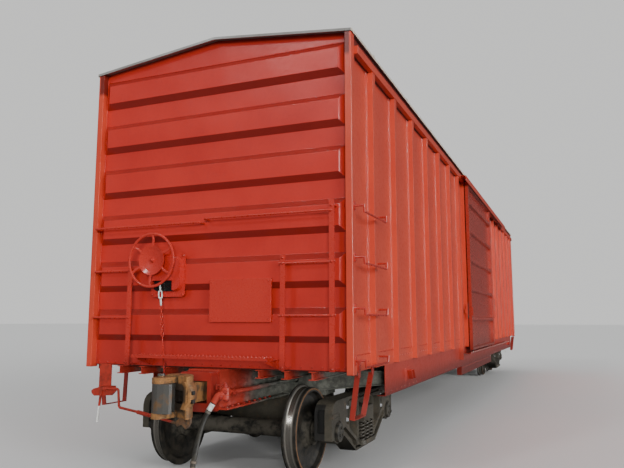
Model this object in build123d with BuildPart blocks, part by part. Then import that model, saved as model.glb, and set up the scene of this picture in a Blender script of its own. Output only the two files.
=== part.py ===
from build123d import *
import math
import os

# Fifty-foot outside-post boxcar, in millimetres. +X points to the hand-brake end, +Y to the side
# whose door slides away from that end, +Z up. The wheel flanges touch the plane Z = 0.

os.makedirs("parts", exist_ok=True)

# Car body
HALF_LENGTH = 7800          # over the corner posts
HALF_WIDTH = 1480           # over the corner posts
SHEET_FACE = 1450           # outer face of the side sheet
SHEET_T = 6
SHEET_BOTTOM = 1070
CHORD_BOTTOM = 4030
CHORD_TOP = 4112
CHORD_FACE = 1516
POST_BOTTOM = 1048
ROOF_LIP_Z = 4218           # lower edge of the turned-down lip of the roof
ROOF_RISE = 174
ROOF_T = 6
LIP_H = 26
FLOOR_TOP = 1120
DECK_BOTTOM = 1066

# Outside posts, pressed hat sections
POST_PITCH = 840
POST_COUNT = 7
FIRST_POST = HALF_LENGTH - 630
POST_DEPTH = 60
POST_FACE_W = 86
POST_BASE_W = 114
POST_FLANGE_W = 34
POST_T = 6
DOOR_SIDE_POST_BOTTOM = 872
LAP_TOP = 1212             # the sill lap covers the foot of the sheet up to here

# Doorway and sliding door
OPENING_HALF = 1524
JAMB_W = 70
OPENING_TOP = 3955
DOOR_HALF = 1562
DOOR_INNER_Y = 1526
DOOR_PANELS = 6
DOOR_OUTER_Y = 1582
DOOR_SKIN_T = 6
DOOR_BOTTOM = 1012
DOOR_TOP = 4046
PANEL_PITCH = 534
TRACK_NEAR = 1950
TRACK_FAR = -4740

# Corrugated end
END_SHEET_X = HALF_LENGTH - 75
END_T = 5
RIB_DEPTH = 55
RIB_PITCH = 502
RIB_FIRST_Z = 1482
RIB_COUNT = 6
RIB_BASE_H = 318
RIB_SLOPE = 47
END_HALF_W = 1414

# Underframe
SILL_HALF = 165
SILL_BOTTOM = 700
SILL_END = HALF_LENGTH + 60
SIDE_SILL_Y = 1444
SIDE_SILL_HALF = 6690
SIDE_SILL_BOTTOM = 752
DEEP_HALF = 2000
DEEP_BOTTOM = 604
STRINGER_Y = (530, 800, 1070)
BOLSTER_TOP = 988
TRUCK_X = 6275
STRIKER_FACE = HALF_LENGTH + 205

# Trucks and wheels
AXLE_HALF_BASE = 863.5
AXLE_Z = 444.5
JOURNAL_Y = 1003
JOURNAL_R = 65
CUP_R = 110
CUP_HALF = 82
FRAME_HALF_T = 90
SIDE_BEARING_Y = 635
CENTER_PLATE_Z = 672
CENTER_PLATE_R = 203

# Couplers and brake gear
COUPLER_Z = 876
SHANK_HALF = 66
COUPLER_PIN_X = HALF_LENGTH - 100
COUPLER_PIN_R = 40
BRAKE_WHEEL_PLACE = (HALF_LENGTH + 112, -615, 2125)
BRAKE_WHEEL_R = 279
TRAIN_LINE_Y = 300
TRAIN_LINE_Z = 862

# Air hose at each end: the route of its centre line, from the angle cock down to the coupling
HOSE_D = 48
HOSE_ROUTE = ((8042, 221, 786), (8074, 172, 690), (8112, 137, 565), (8160, 125, 405), (8200, 119, 250))


def half_turn(part):
    # The two ends are alike, and so are the two sides, each turned half round about the car's centre.
    return part.rotate(Axis.Z, 180)


def save(builder, label):
    builder.part.label = label
    export_step(builder.part, f"parts/{label}.step")


def both_ends(piece, label):
    with BuildPart() as pair:
        add(piece)
        add(half_turn(piece))
    save(pair, label)


def rod(points, bend, diameter):
    # A round bar bent at each corner.
    with BuildPart() as bar:
        with BuildLine() as path:
            FilletPolyline(*points, radius=bend)
        with BuildSketch(path.line ^ 0):
            Circle(diameter / 2)
        sweep()
    return bar.part


def mitred_rod(points, diameter):
    # A thin bar with tight bends, drawn as mitres.
    with BuildPart() as bar:
        with BuildLine() as path:
            Polyline(*points)
        with BuildSketch(path.line ^ 0):
            Circle(diameter / 2)
        sweep(transition=Transition.RIGHT)
    return bar.part


# Side walls: a sheet each side of the doorway, with seven pressed posts on each

HALF_FACE = POST_FACE_W / 2
HALF_BASE = POST_BASE_W / 2
HAT_OUTLINE = (
    (-HALF_BASE - POST_FLANGE_W, 0), (-HALF_BASE - POST_FLANGE_W, POST_T), (-HALF_BASE, POST_T),
    (-HALF_FACE, POST_DEPTH), (HALF_FACE, POST_DEPTH), (HALF_BASE, POST_T),
    (HALF_BASE + POST_FLANGE_W, POST_T), (HALF_BASE + POST_FLANGE_W, 0), (HALF_BASE - POST_T, 0),
    (HALF_FACE - POST_T, POST_DEPTH - POST_T), (-HALF_FACE + POST_T, POST_DEPTH - POST_T),
    (-HALF_BASE + POST_T, 0),
)
# Over the lap the flanges are trimmed off, and the post beside the door stands on the side sill.
FOOT_OUTLINE = (
    (-HALF_BASE, POST_T), (-HALF_FACE, POST_DEPTH), (HALF_FACE, POST_DEPTH), (HALF_BASE, POST_T),
    (HALF_BASE - POST_T, POST_T), (HALF_FACE - POST_T, POST_DEPTH - POST_T),
    (-HALF_FACE + POST_T, POST_DEPTH - POST_T), (-HALF_BASE + POST_T, POST_T),
)
SHOE_OUTLINE = (
    (-HALF_BASE, -POST_T), (-HALF_BASE, POST_T), (-HALF_FACE, POST_DEPTH), (HALF_FACE, POST_DEPTH),
    (HALF_BASE, POST_T), (HALF_BASE, -POST_T), (HALF_BASE - POST_T, -POST_T), (HALF_BASE - POST_T, POST_T),
    (HALF_FACE - POST_T, POST_DEPTH - POST_T), (-HALF_FACE + POST_T, POST_DEPTH - POST_T),
    (-HALF_BASE + POST_T, POST_T), (-HALF_BASE + POST_T, -POST_T),
)


def wall_panel(sign):
    near = OPENING_HALF + JAMB_W
    far = HALF_LENGTH - 100
    with BuildPart() as panel:
        with Locations((sign * (near + far) / 2, SHEET_FACE - SHEET_T / 2, (SHEET_BOTTOM + CHORD_TOP) / 2)):
            Box(far - near, SHEET_T, CHORD_TOP - SHEET_BOTTOM)
        lap_far = far - 70
        with Locations((sign * (near + lap_far) / 2, SHEET_FACE + POST_T / 2, (SHEET_BOTTOM + LAP_TOP) / 2)):
            Box(lap_far - near, POST_T, LAP_TOP - SHEET_BOTTOM)
        post_places = [(sign * (FIRST_POST - k * POST_PITCH), SHEET_FACE) for k in range(POST_COUNT)]
        for outline, low, high, places in (
            (HAT_OUTLINE, LAP_TOP, CHORD_BOTTOM, post_places),
            (FOOT_OUTLINE, SHEET_BOTTOM + 12, LAP_TOP, post_places),
            (SHOE_OUTLINE, DOOR_SIDE_POST_BOTTOM, SHEET_BOTTOM + 12, post_places[-1:] if sign == 1 else []),
        ):
            for place in places:
                with BuildSketch(Plane.XY.offset(low)):
                    with Locations(place):
                        Polygon(*outline, align=None)
                extrude(amount=high - low)
    return panel.part


with BuildPart() as side_right:
    for sign in (1, -1):
        add(wall_panel(sign))
save(side_right, "side_right")

with BuildPart() as side_left:
    add(half_turn(side_right.part))
save(side_left, "side_left")

# Top chords: a pressed rail along each side, whose lower edge caps the posts

with BuildPart() as top_chords:
    with BuildSketch(Plane.YZ.offset(100 - HALF_LENGTH)):
        Polygon(
            (SHEET_FACE, CHORD_BOTTOM), (CHORD_FACE, CHORD_BOTTOM), (CHORD_FACE, CHORD_TOP),
            (SHEET_FACE + 8, CHORD_TOP), (SHEET_FACE + 8, 4241.9), (SHEET_FACE, 4241.9),
            align=None)
        mirror(about=Plane.YZ)
    extrude(amount=2 * HALF_LENGTH - 200)
save(top_chords, "top_chords")

# Corner posts: four box columns

with BuildPart() as corner_posts:
    with BuildSketch(Plane.XY.offset(POST_BOTTOM)):
        with GridLocations(2 * (HALF_LENGTH - 50), 2 * (HALF_WIDTH - 33), 2, 2):
            Rectangle(100, 66)
            Rectangle(84, 50, mode=Mode.SUBTRACT)
    extrude(amount=ROOF_LIP_Z + 21.3 - POST_BOTTOM)
save(corner_posts, "corner_posts")

# Ends: one sheet with six tapered ribs pressed outwards

END_PLANE = Plane(origin=(END_SHEET_X, 0, 0), x_dir=(0, 1, 0), z_dir=(1, 0, 0))

with BuildPart() as end_b:
    with BuildSketch(END_PLANE.offset(-END_T)):
        Polygon(
            (-END_HALF_W, SHEET_BOTTOM + 4), (END_HALF_W, SHEET_BOTTOM + 4), (END_HALF_W, ROOF_LIP_Z + 29),
            (0, ROOF_LIP_Z + 19.9 + ROOF_RISE), (-END_HALF_W, ROOF_LIP_Z + 29), align=None)
    extrude(amount=END_T)
    rib_places = [(0, RIB_FIRST_Z + k * RIB_PITCH) for k in range(RIB_COUNT)]
    with BuildSketch(END_PLANE):
        with Locations(*rib_places):
            Rectangle(2 * END_HALF_W - 24, RIB_BASE_H)
    extrude(amount=RIB_DEPTH, taper=RIB_SLOPE)
    with BuildSketch(END_PLANE.offset(-END_T)):
        with Locations(*rib_places):
            Rectangle(2 * END_HALF_W - 30, RIB_BASE_H - 6)
    extrude(amount=RIB_DEPTH, taper=RIB_SLOPE, mode=Mode.SUBTRACT)
save(end_b, "end_b")

with BuildPart() as end_a:
    add(half_turn(end_b.part))
save(end_a, "end_a")

# Roof: low-pitched sheet with a turned-down lip all round and raised seam caps

ROOF_HALF_W = HALF_WIDTH + 12
ROOF_HALF_L = HALF_LENGTH + 12
SEAM_PITCH = 1418
SEAM_COUNT = 11
SEAM_W = 48
SEAM_H = 16


def gable(half_width, bottom, top):
    slope = ROOF_RISE / ROOF_HALF_W
    inset = (ROOF_HALF_W - half_width) * slope
    return (
        (-half_width, bottom + inset), (0, bottom + ROOF_RISE), (half_width, bottom + inset),
        (half_width, top + inset), (0, top + ROOF_RISE), (-half_width, top + inset),
    )


with BuildPart() as roof:
    with BuildSketch(Plane.YZ.offset(-ROOF_HALF_L)):
        Polygon(*gable(ROOF_HALF_W, ROOF_LIP_Z, ROOF_LIP_Z + LIP_H), align=None)
    extrude(amount=2 * ROOF_HALF_L)
    with BuildSketch(Plane.YZ.offset(ROOF_T - ROOF_HALF_L)):
        Polygon(*gable(ROOF_HALF_W - ROOF_T, ROOF_LIP_Z - 1, ROOF_LIP_Z + LIP_H - ROOF_T), align=None)
    extrude(amount=2 * (ROOF_HALF_L - ROOF_T), mode=Mode.SUBTRACT)
    for k in range(SEAM_COUNT):
        seam_x = (k - (SEAM_COUNT - 1) / 2) * SEAM_PITCH
        with BuildSketch(Plane.YZ.offset(seam_x - SEAM_W / 2)):
            Polygon(*gable(ROOF_HALF_W, ROOF_LIP_Z + LIP_H - 2, ROOF_LIP_Z + LIP_H + SEAM_H), align=None)
        extrude(amount=SEAM_W)
save(roof, "roof")

# Floor deck on lengthwise stringers

with BuildPart() as floor_deck:
    with Locations((0, 0, (DECK_BOTTOM + FLOOR_TOP) / 2)):
        Box(2 * (END_SHEET_X - END_T), 2 * (SIDE_SILL_Y - 10), FLOOR_TOP - DECK_BOTTOM)
    with Locations((0, 0, FLOOR_TOP)):
        with GridLocations(2 * (END_SHEET_X - END_T), 2 * (SIDE_SILL_Y - 10), 2, 2):
            Box(42, 42, 200, mode=Mode.SUBTRACT)
save(floor_deck, "floor_deck")

with BuildPart() as floor_stringers:
    with BuildSketch(Plane.YZ.offset(40 - HALF_LENGTH)):
        for y in STRINGER_Y:
            with Locations((y, (BOLSTER_TOP + DECK_BOTTOM) / 2)):
                Rectangle(8, DECK_BOTTOM - BOLSTER_TOP)
            with Locations((y, BOLSTER_TOP + 4), (y, DECK_BOTTOM - 4)):
                Rectangle(70, 8)
        mirror(about=Plane.YZ)
    extrude(amount=2 * HALF_LENGTH - 80)
save(floor_stringers, "floor_stringers")

# Centre sill: an inverted trough with outward feet

with BuildPart() as center_sill:
    with BuildSketch(Plane.YZ.offset(-SILL_END)):
        with Locations((0, DECK_BOTTOM - 6)):
            Rectangle(2 * SILL_HALF + 10, 12)
        for side in (1, -1):
            with Locations((side * SILL_HALF, (SILL_BOTTOM + DECK_BOTTOM) / 2)):
                Rectangle(10, DECK_BOTTOM - SILL_BOTTOM)
            with Locations((side * (SILL_HALF + 45), SILL_BOTTOM + 8)):
                Rectangle(100, 16)
    extrude(amount=2 * SILL_END)
    with BuildSketch(Plane.XZ):
        with Locations((0, TRAIN_LINE_Z)):
            SlotOverall(1100, 90)
    extrude(amount=SILL_HALF + 20, both=True, mode=Mode.SUBTRACT)
    with Locations((COUPLER_PIN_X, 0, 918), (-COUPLER_PIN_X, 0, 918)):
        Cylinder(COUPLER_PIN_R, 274)
save(center_sill, "center_sill")

# Strikers: castings that close the sill ends round the coupler shanks

with BuildPart() as striker:
    with BuildSketch(Plane.YZ.offset(SILL_END + 1)):
        with Locations((0, COUPLER_Z - 5)):
            RectangleRounded(340, 358, 34)
            Rectangle(256, 200, mode=Mode.SUBTRACT)
    extrude(amount=STRIKER_FACE - SILL_END - 1)
    with BuildSketch(Plane.YZ.offset(SILL_END + 1)):
        with Locations((0, COUPLER_Z - 5)):
            RectangleRounded(352, 370, 20)
            Rectangle(256, 200, mode=Mode.SUBTRACT)
    extrude(amount=18)
both_ends(striker.part, "strikers")

# Body bolsters and crossbearers: tapered arms from the centre sill out to the side sills

ARM_ROOT_Y = SILL_HALF + 5
ARM_TIP_Y = SIDE_SILL_Y - 10


def cross_arms(places, half_width, root_z, tip_z, web_half, plate_t):
    with BuildPart() as arms:
        for x in places:
            with BuildSketch(Plane.YZ.offset(x - half_width)):
                Polygon(
                    (ARM_ROOT_Y, root_z), (SILL_HALF + 130, root_z), (ARM_TIP_Y, tip_z),
                    (ARM_TIP_Y, BOLSTER_TOP), (ARM_ROOT_Y, BOLSTER_TOP), align=None)
                mirror(about=Plane.YZ)
            extrude(amount=2 * half_width)
            for face_x in (x - half_width, x + web_half):
                with BuildSketch(Plane.YZ.offset(face_x)):
                    Polygon(
                        (ARM_ROOT_Y, root_z + plate_t), (SILL_HALF + 130, root_z + plate_t),
                        (ARM_TIP_Y, tip_z + plate_t), (ARM_TIP_Y, BOLSTER_TOP - plate_t),
                        (ARM_ROOT_Y, BOLSTER_TOP - plate_t), align=None)
                    mirror(about=Plane.YZ)
                extrude(amount=half_width - web_half, mode=Mode.SUBTRACT)
            with Locations((x, TRAIN_LINE_Y, TRAIN_LINE_Z), (x, -TRAIN_LINE_Y, TRAIN_LINE_Z)):
                Cylinder(38, 4 * half_width, rotation=(0, 90, 0), mode=Mode.SUBTRACT)
    return arms.part


with BuildPart() as body_bolsters:
    add(cross_arms((TRUCK_X, -TRUCK_X), 190, SILL_BOTTOM + 16, 850, 120, 14))
    for x in (TRUCK_X, -TRUCK_X):
        with BuildSketch(Plane.XY.offset(CENTER_PLATE_Z)):
            with Locations((x, 0)):
                Circle(CENTER_PLATE_R)
        extrude(amount=SILL_BOTTOM - CENTER_PLATE_Z)
        with Locations((x, SIDE_BEARING_Y, 734), (x, -SIDE_BEARING_Y, 734)):
            Box(300, 90, 56)
        with Locations((x, 0, SILL_BOTTOM + 8)):
            Box(2 * CENTER_PLATE_R, 320, 16)
save(body_bolsters, "body_bolsters")

with BuildPart() as crossbearers:
    add(cross_arms((-3600, -1300, 1300, 3600), 70, SILL_BOTTOM + 16, 770, 5, 12))
save(crossbearers, "crossbearers")

# Side sills: a deep plate with an inward foot, deeper again below the doorway

with BuildPart() as side_sills:
    with BuildSketch(Plane.YZ.offset(-SIDE_SILL_HALF)):
        with Locations((SIDE_SILL_Y - 5, (SIDE_SILL_BOTTOM + FLOOR_TOP) / 2)):
            Rectangle(10, FLOOR_TOP - SIDE_SILL_BOTTOM)
        with Locations((SIDE_SILL_Y - 45, SIDE_SILL_BOTTOM + 5)):
            Rectangle(90, 10)
        mirror(about=Plane.YZ)
    extrude(amount=2 * SIDE_SILL_HALF)
    with BuildSketch(Plane.YZ.offset(-DEEP_HALF)):
        Polygon(
            (SIDE_SILL_Y, SIDE_SILL_BOTTOM), (SIDE_SILL_Y, DEEP_BOTTOM), (SIDE_SILL_Y - 84, DEEP_BOTTOM),
            (SIDE_SILL_Y - 84, DEEP_BOTTOM + 10), (SIDE_SILL_Y - 10, DEEP_BOTTOM + 10),
            (SIDE_SILL_Y - 10, SIDE_SILL_BOTTOM), align=None)
        mirror(about=Plane.YZ)
    extrude(amount=2 * DEEP_HALF)
    with Locations(*[(sx * (DEEP_HALF - 5), sy * (SIDE_SILL_Y - 42), (DEEP_BOTTOM + SIDE_SILL_BOTTOM) / 2)
                     for sx in (1, -1) for sy in (1, -1)]):
        Box(10, 84, SIDE_SILL_BOTTOM - DEEP_BOTTOM)
    for sx, sy in ((1, 1), (-1, 1), (1, -1), (-1, -1)):
        with Locations((sx * 5700, sy * (SIDE_SILL_Y + 4), 905)):
            Box(300, 8, 150)
        with Locations(*[Location((sx * (5700 + dx), sy * (SIDE_SILL_Y + 34), 905), (0, 35 * sx, 0))
                         for dx in (-60, 70)]):
            Box(14, 56, 120)
save(side_sills, "side_sills")

# Door frames: two jambs and a header round each doorway

with BuildPart() as door_frames:
    for side in (1, -1):
        with Locations(*[(sx * (OPENING_HALF + JAMB_W / 2), side * 1452, (SHEET_BOTTOM + CHORD_BOTTOM) / 2)
                         for sx in (1, -1)]):
            Box(JAMB_W, 116, CHORD_BOTTOM - SHEET_BOTTOM)
        with Locations((0, side * 1452, (OPENING_TOP + CHORD_BOTTOM) / 2)):
            Box(2 * OPENING_HALF, 116, CHORD_BOTTOM - OPENING_TOP)
    with Locations(*[(sx * (OPENING_HALF + JAMB_W / 2), sy * 1420, 1095)
                     for sx in (1, -1) for sy in (1, -1)]):
        Box(JAMB_W + 2, 60, 52, mode=Mode.SUBTRACT)
    for sign in (1, -1):
        with Locations((sign * (OPENING_HALF + JAMB_W + 40), sign * 1485, 1690)):
            Box(80, 30, 60)
        with Locations((sign * (OPENING_HALF + JAMB_W + 60), sign * 1512, 1690)):
            Box(26, 24, 250)
save(door_frames, "door_frames")

# Door tracks: a hood over the top edge of each door and a rail below it

TRACK_MID = (TRACK_NEAR + TRACK_FAR) / 2
TRACK_L = TRACK_NEAR - TRACK_FAR

with BuildPart() as door_track:
    with BuildSketch(Plane.YZ.offset(TRACK_FAR)):
        Polygon(
            (CHORD_FACE, 4074), (1606, 4074), (1606, 3985), (1614, 3985), (1614, 4082), (CHORD_FACE, 4082),
            align=None)
        Polygon(
            (SIDE_SILL_Y, 940), (SIDE_SILL_Y + 8, 940), (SIDE_SILL_Y + 8, 962), (1598, 962),
            (1598, 996), (1590, 996), (1590, 970), (SIDE_SILL_Y, 970), align=None)
    extrude(amount=TRACK_L)
both_ends(door_track.part, "door_tracks")

# Doors: six pressed panels, deep rails between them, and the outside fittings


def door_part():
    mid_z = (DOOR_BOTTOM + DOOR_TOP) / 2
    with BuildPart() as door:
        with Locations((0, (DOOR_INNER_Y + DOOR_OUTER_Y) / 2, mid_z)):
            Box(2 * DOOR_HALF, DOOR_OUTER_Y - DOOR_INNER_Y, DOOR_TOP - DOOR_BOTTOM)
        with BuildSketch(Plane(origin=(0, DOOR_OUTER_Y, 0), x_dir=(1, 0, 0), z_dir=(0, -1, 0))):
            for k in range(DOOR_PANELS):
                low = DOOR_BOTTOM + 38 + k * PANEL_PITCH
                high = min(low + PANEL_PITCH - 58, DOOR_TOP - 50)
                with Locations((0, (low + high) / 2)):
                    RectangleRounded(2 * DOOR_HALF - 150, high - low, 60)
        extrude(amount=DOOR_OUTER_Y - DOOR_INNER_Y - DOOR_SKIN_T, taper=20, mode=Mode.SUBTRACT)
        with Locations(*[Location((x, (DOOR_INNER_Y + DOOR_OUTER_Y) / 2, 998.3), (90, 0, 0))
                         for x in (-1250, 1250)]):
            Cylinder(28, 26)
        with Locations((DOOR_HALF - 60, DOOR_OUTER_Y + 9, 1690)):
            Box(110, 18, 150)
        add(rod((
            (60 - DOOR_HALF, DOOR_OUTER_Y, 1595), (60 - DOOR_HALF, DOOR_OUTER_Y + 42, 1595),
            (60 - DOOR_HALF, DOOR_OUTER_Y + 42, 2005), (60 - DOOR_HALF, DOOR_OUTER_Y, 2005)), 18, 18))
    return door.part


with BuildPart() as door_right:
    add(door_part())
save(door_right, "door_right")

with BuildPart() as door_left:
    add(half_turn(door_right.part))
save(door_left, "door_left")

# End ladders and long handholds

LADDER_X = HALF_LENGTH + 52
HANDHOLD_Z = 2516
RIB_FACE_X = END_SHEET_X + RIB_DEPTH
RIB_END_X = RIB_FACE_X - 22         # on the slope at a rib's end


def stile(y, bottom, top, upper_foot):
    with BuildPart() as bar:
        with Locations((LADDER_X, y, (bottom + top) / 2)):
            Box(12, 50, top - bottom)
        with Locations(((LADDER_X + END_SHEET_X) / 2, y, bottom + 12)):
            Box(LADDER_X - END_SHEET_X, 50, 10)
        with Locations(((LADDER_X + RIB_FACE_X) / 2, y, upper_foot)):
            Box(LADDER_X - RIB_FACE_X, 50, 10)
    return bar.part


with BuildPart() as end_ladder:
    for y, bottom, top, upper_foot in (
        (815, 1078, 2125, 2060), (1300, 1078, 2615, 2560), (-912, 1078, 2060, 2040),
    ):
        add(stile(y, bottom, top, upper_foot))
    for z in (1570, 2050):
        with Locations((LADDER_X, 1058, z)):
            Cylinder(11, 560, rotation=(90, 0, 0))
    for z in (1557, 2032):
        add(rod(((RIB_END_X, -1380, z), (LADDER_X, -1380, z), (LADDER_X, -900, z)), 26, 22))
    for outer_x, outer_y, inner_y, z in (
        (RIB_FACE_X, 1302, -35, HANDHOLD_Z), (RIB_END_X, -1380, -85, HANDHOLD_Z - 31),
    ):
        add(rod((
            (outer_x, outer_y, z), (LADDER_X + 20, outer_y, z), (LADDER_X + 20, inner_y, z),
            (RIB_FACE_X, inner_y, z)), 30, 22))
both_ends(end_ladder.part, "end_ladders")

# Side handholds: four dropped bars at one corner of each side

HANDHOLD_ROWS = (1175, 1632, 2090, 2560)

with BuildPart() as corner_handholds:
    for z in HANDHOLD_ROWS:
        far_foot = SHEET_FACE + POST_T if z < LAP_TOP else SHEET_FACE
        add(mitred_rod((
            (HALF_LENGTH - 55, HALF_WIDTH, z), (HALF_LENGTH - 55, 1572, z),
            (HALF_LENGTH - 70, 1572, z - 56), (HALF_LENGTH - 770, 1572, z - 56),
            (HALF_LENGTH - 785, 1572, z), (HALF_LENGTH - 785, far_foot, z)), 20))
both_ends(corner_handholds.part, "side_handholds")

# Sill steps: a strap stirrup at each corner

STEP_NEAR = HALF_LENGTH - 205
STEP_FAR = HALF_LENGTH - 614
STEP_TOP = 1010
STEP_DROP = 374
STEP_LEAN = 8
STEP_PLANE = Plane(
    origin=(0, SHEET_FACE - 32, STEP_TOP), x_dir=(1, 0, 0),
    z_dir=(0, math.cos(math.radians(STEP_LEAN)), -math.sin(math.radians(STEP_LEAN))))

with BuildPart() as step:
    with BuildSketch(STEP_PLANE):
        Polygon(
            (STEP_NEAR + 6, -26), (STEP_NEAR + 6, STEP_DROP), (STEP_FAR + 78, STEP_DROP), (STEP_FAR - 6, 0),
            (STEP_FAR - 6, -26), (STEP_FAR + 6, -26), (STEP_FAR + 6, -2), (STEP_FAR + 88, STEP_DROP - 12),
            (STEP_NEAR - 6, STEP_DROP - 12), (STEP_NEAR - 6, -26), align=None)
    extrude(amount=50)
    with Locations((STEP_NEAR, SHEET_FACE + 12, 1085), (STEP_FAR, SHEET_FACE + 12, 1085)):
        Box(50, 12, 140)
with BuildPart() as sill_steps:
    for sign in (1, -1):
        piece = step.part if sign == 1 else step.part.mirror(Plane.YZ)
        add(piece)
        add(half_turn(piece))
save(sill_steps, "sill_steps")

# Hand brake: wheel, gear case, chain and rod, and the step below

WX, WY, WZ = BRAKE_WHEEL_PLACE

with BuildPart() as brake_wheel:
    for k in range(6):
        with BuildLine(Plane.XY.rotated((0, 0, k * 60))) as spoke:
            ThreePointArc((132, 4, -10), (200, -16, -6), (BRAKE_WHEEL_R - 14, 0, 0))
        with BuildSketch(spoke.line ^ 0):
            Ellipse(14, 7)
        sweep()
    with BuildSketch(Plane.XZ):
        with Locations((BRAKE_WHEEL_R - 14, 0)):
            Ellipse(14, 11)
    revolve(axis=Axis.Z)
    with BuildSketch(Plane.XZ):
        Polygon(
            (0, -48), (34, -48), (46, -40), (112, -26), (150, -10), (150, 0), (108, -14), (44, -26),
            (24, -26), (20, -18), (0, -18), align=None)
    revolve(axis=Axis.Z)
brake_wheel.part = brake_wheel.part.rotate(Axis.Y, 90).moved(Location((WX, WY, WZ)))
save(brake_wheel, "brake_wheel")

CASE_FRONT = HALF_LENGTH + 46

with BuildPart() as brake_gear_case:
    with BuildSketch(Plane.YZ.offset(RIB_FACE_X)):
        with Locations((-490, 1975)):
            RectangleRounded(400, 430, 40)
    extrude(amount=14)
    with BuildSketch(Plane.YZ.offset(RIB_FACE_X + 14)):
        with Locations((-488, 1988)):
            RectangleRounded(372, 352, 90)
    extrude(amount=CASE_FRONT - RIB_FACE_X - 14, taper=14)
    with BuildSketch(Plane.YZ.offset(CASE_FRONT - 30)):
        with Locations((WY, WZ)):
            Circle(62)
    extrude(amount=30 + 14)
    with Locations(Location((WX - 58, WY, WZ), (0, 90, 0))):
        Cylinder(19, 20)
    with Locations((CASE_FRONT - 14, -526, 1860)):
        Box(44, 240, 124, mode=Mode.SUBTRACT)
save(brake_gear_case, "brake_gear_case")

CHAIN_TOP = (HALF_LENGTH + 30, -560, 1900)
CHAIN_FOOT = (HALF_LENGTH + 30, -461, 880)

with BuildPart() as brake_chain:
    add(mitred_rod((CHAIN_TOP, CHAIN_FOOT), 22))
    with Locations(Location(CHAIN_FOOT, (0, 90, 0))):
        Cylinder(40, 24)
        Cylinder(14, 54)
    with Locations((HALF_LENGTH + 6, -(SILL_HALF + 5 + 500) / 2, 880)):
        Box(12, 500 - SILL_HALF - 5, 60)
save(brake_chain, "brake_chain")

with BuildPart() as brake_step:
    with Locations((HALF_LENGTH + 132, -10, 1183)):
        Box(140, 1480, 36)
    with Locations((HALF_LENGTH + 57, -690, 1122), (HALF_LENGTH + 57, 708, 1122)):
        Box(264, 40, 88)
save(brake_step, "brake_step")

# Blank boards on the two ends

with BuildPart() as board:
    with Locations((RIB_FACE_X + 12, 340, 1714)):
        Box(24, 670, 412)
both_ends(board.part, "placard_boards")

# Uncoupling levers

with BuildPart() as lever:
    add(rod((
        (7960, -1164, 527), (7960, -1124, 853), (7960, -915, 857), (7960, -900, 680), (8000, -661, 657),
        (8220, -30, 614)), 26, 24))
    add(mitred_rod(((8010, -632, 655), (8075, -446, 642.5)), 38))
    with Locations((HALF_LENGTH + 6, -1212, 952)):
        Box(12, 150, 244)
    with Locations((HALF_LENGTH + 88, -1115, 851)):
        Box(164, 90, 34)
    with BuildSketch(Plane.YZ.offset(7938)):
        Polygon(
            (-1262, 825), (-1235, 846), (-1146, 866), (-945, 863), (-950, 838), (-1000, 790), (-1222, 776),
            (-1256, 800), align=None)
    extrude(amount=12)
    with Locations(((END_SHEET_X + HALF_LENGTH + 12) / 2, -1212, 1079)):
        Box(HALF_LENGTH + 12 - END_SHEET_X, 150, 10)
    with BuildSketch(Plane.YZ.offset(8208)):
        Polygon(
            (-46, 604), (-30, 592), (10, 612), (40, 590), (56, 574), (78, 584), (104, 626), (106, 682),
            (80, 684), (68, 640), (54, 626), (32, 662), (2, 674), (-46, 634), align=None)
    extrude(amount=26)
both_ends(lever.part, "uncoupling_levers")

# Couplers: shank and head, with the knuckle as its own casting

HEAD_BOTTOM = COUPLER_Z - 182
HEAD_TOP = COUPLER_Z + 174
LUG_T = 48
LUG_OUTLINE = (
    (8240, -100), (8300, -118), (8390, -142), (8470, -133), (8530, -98), (8550, -52), (8540, -12),
    (8480, 14), (8400, 44), (8340, 40),
)
HEAD_OUTLINE = (
    (8196, -72), (8196, 72), (8236, 120), (8300, 172), (8385, 214), (8438, 220), (8456, 200), (8432, 172),
    (8404, 144), (8388, 84), (8352, 34), (8340, -40), (8330, -90), (8240, -100),
)
# The guard arm swells outwards at mid height, where the two oblong holes are.
GUARD_OUTLINE = (
    (8210, 40), (8236, 150), (8300, 212), (8385, 254), (8440, 260), (8462, 236), (8440, 190), (8392, 120),
)
KNUCKLE_OUTLINE = (
    (8340, -90), (8352, 20), (8400, 10), (8470, -30), (8486, 10), (8476, 62), (8500, 94), (8534, 84),
    (8554, 40), (8560, -20), (8546, -66), (8512, -108), (8440, -134), (8364, -126),
)


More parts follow.
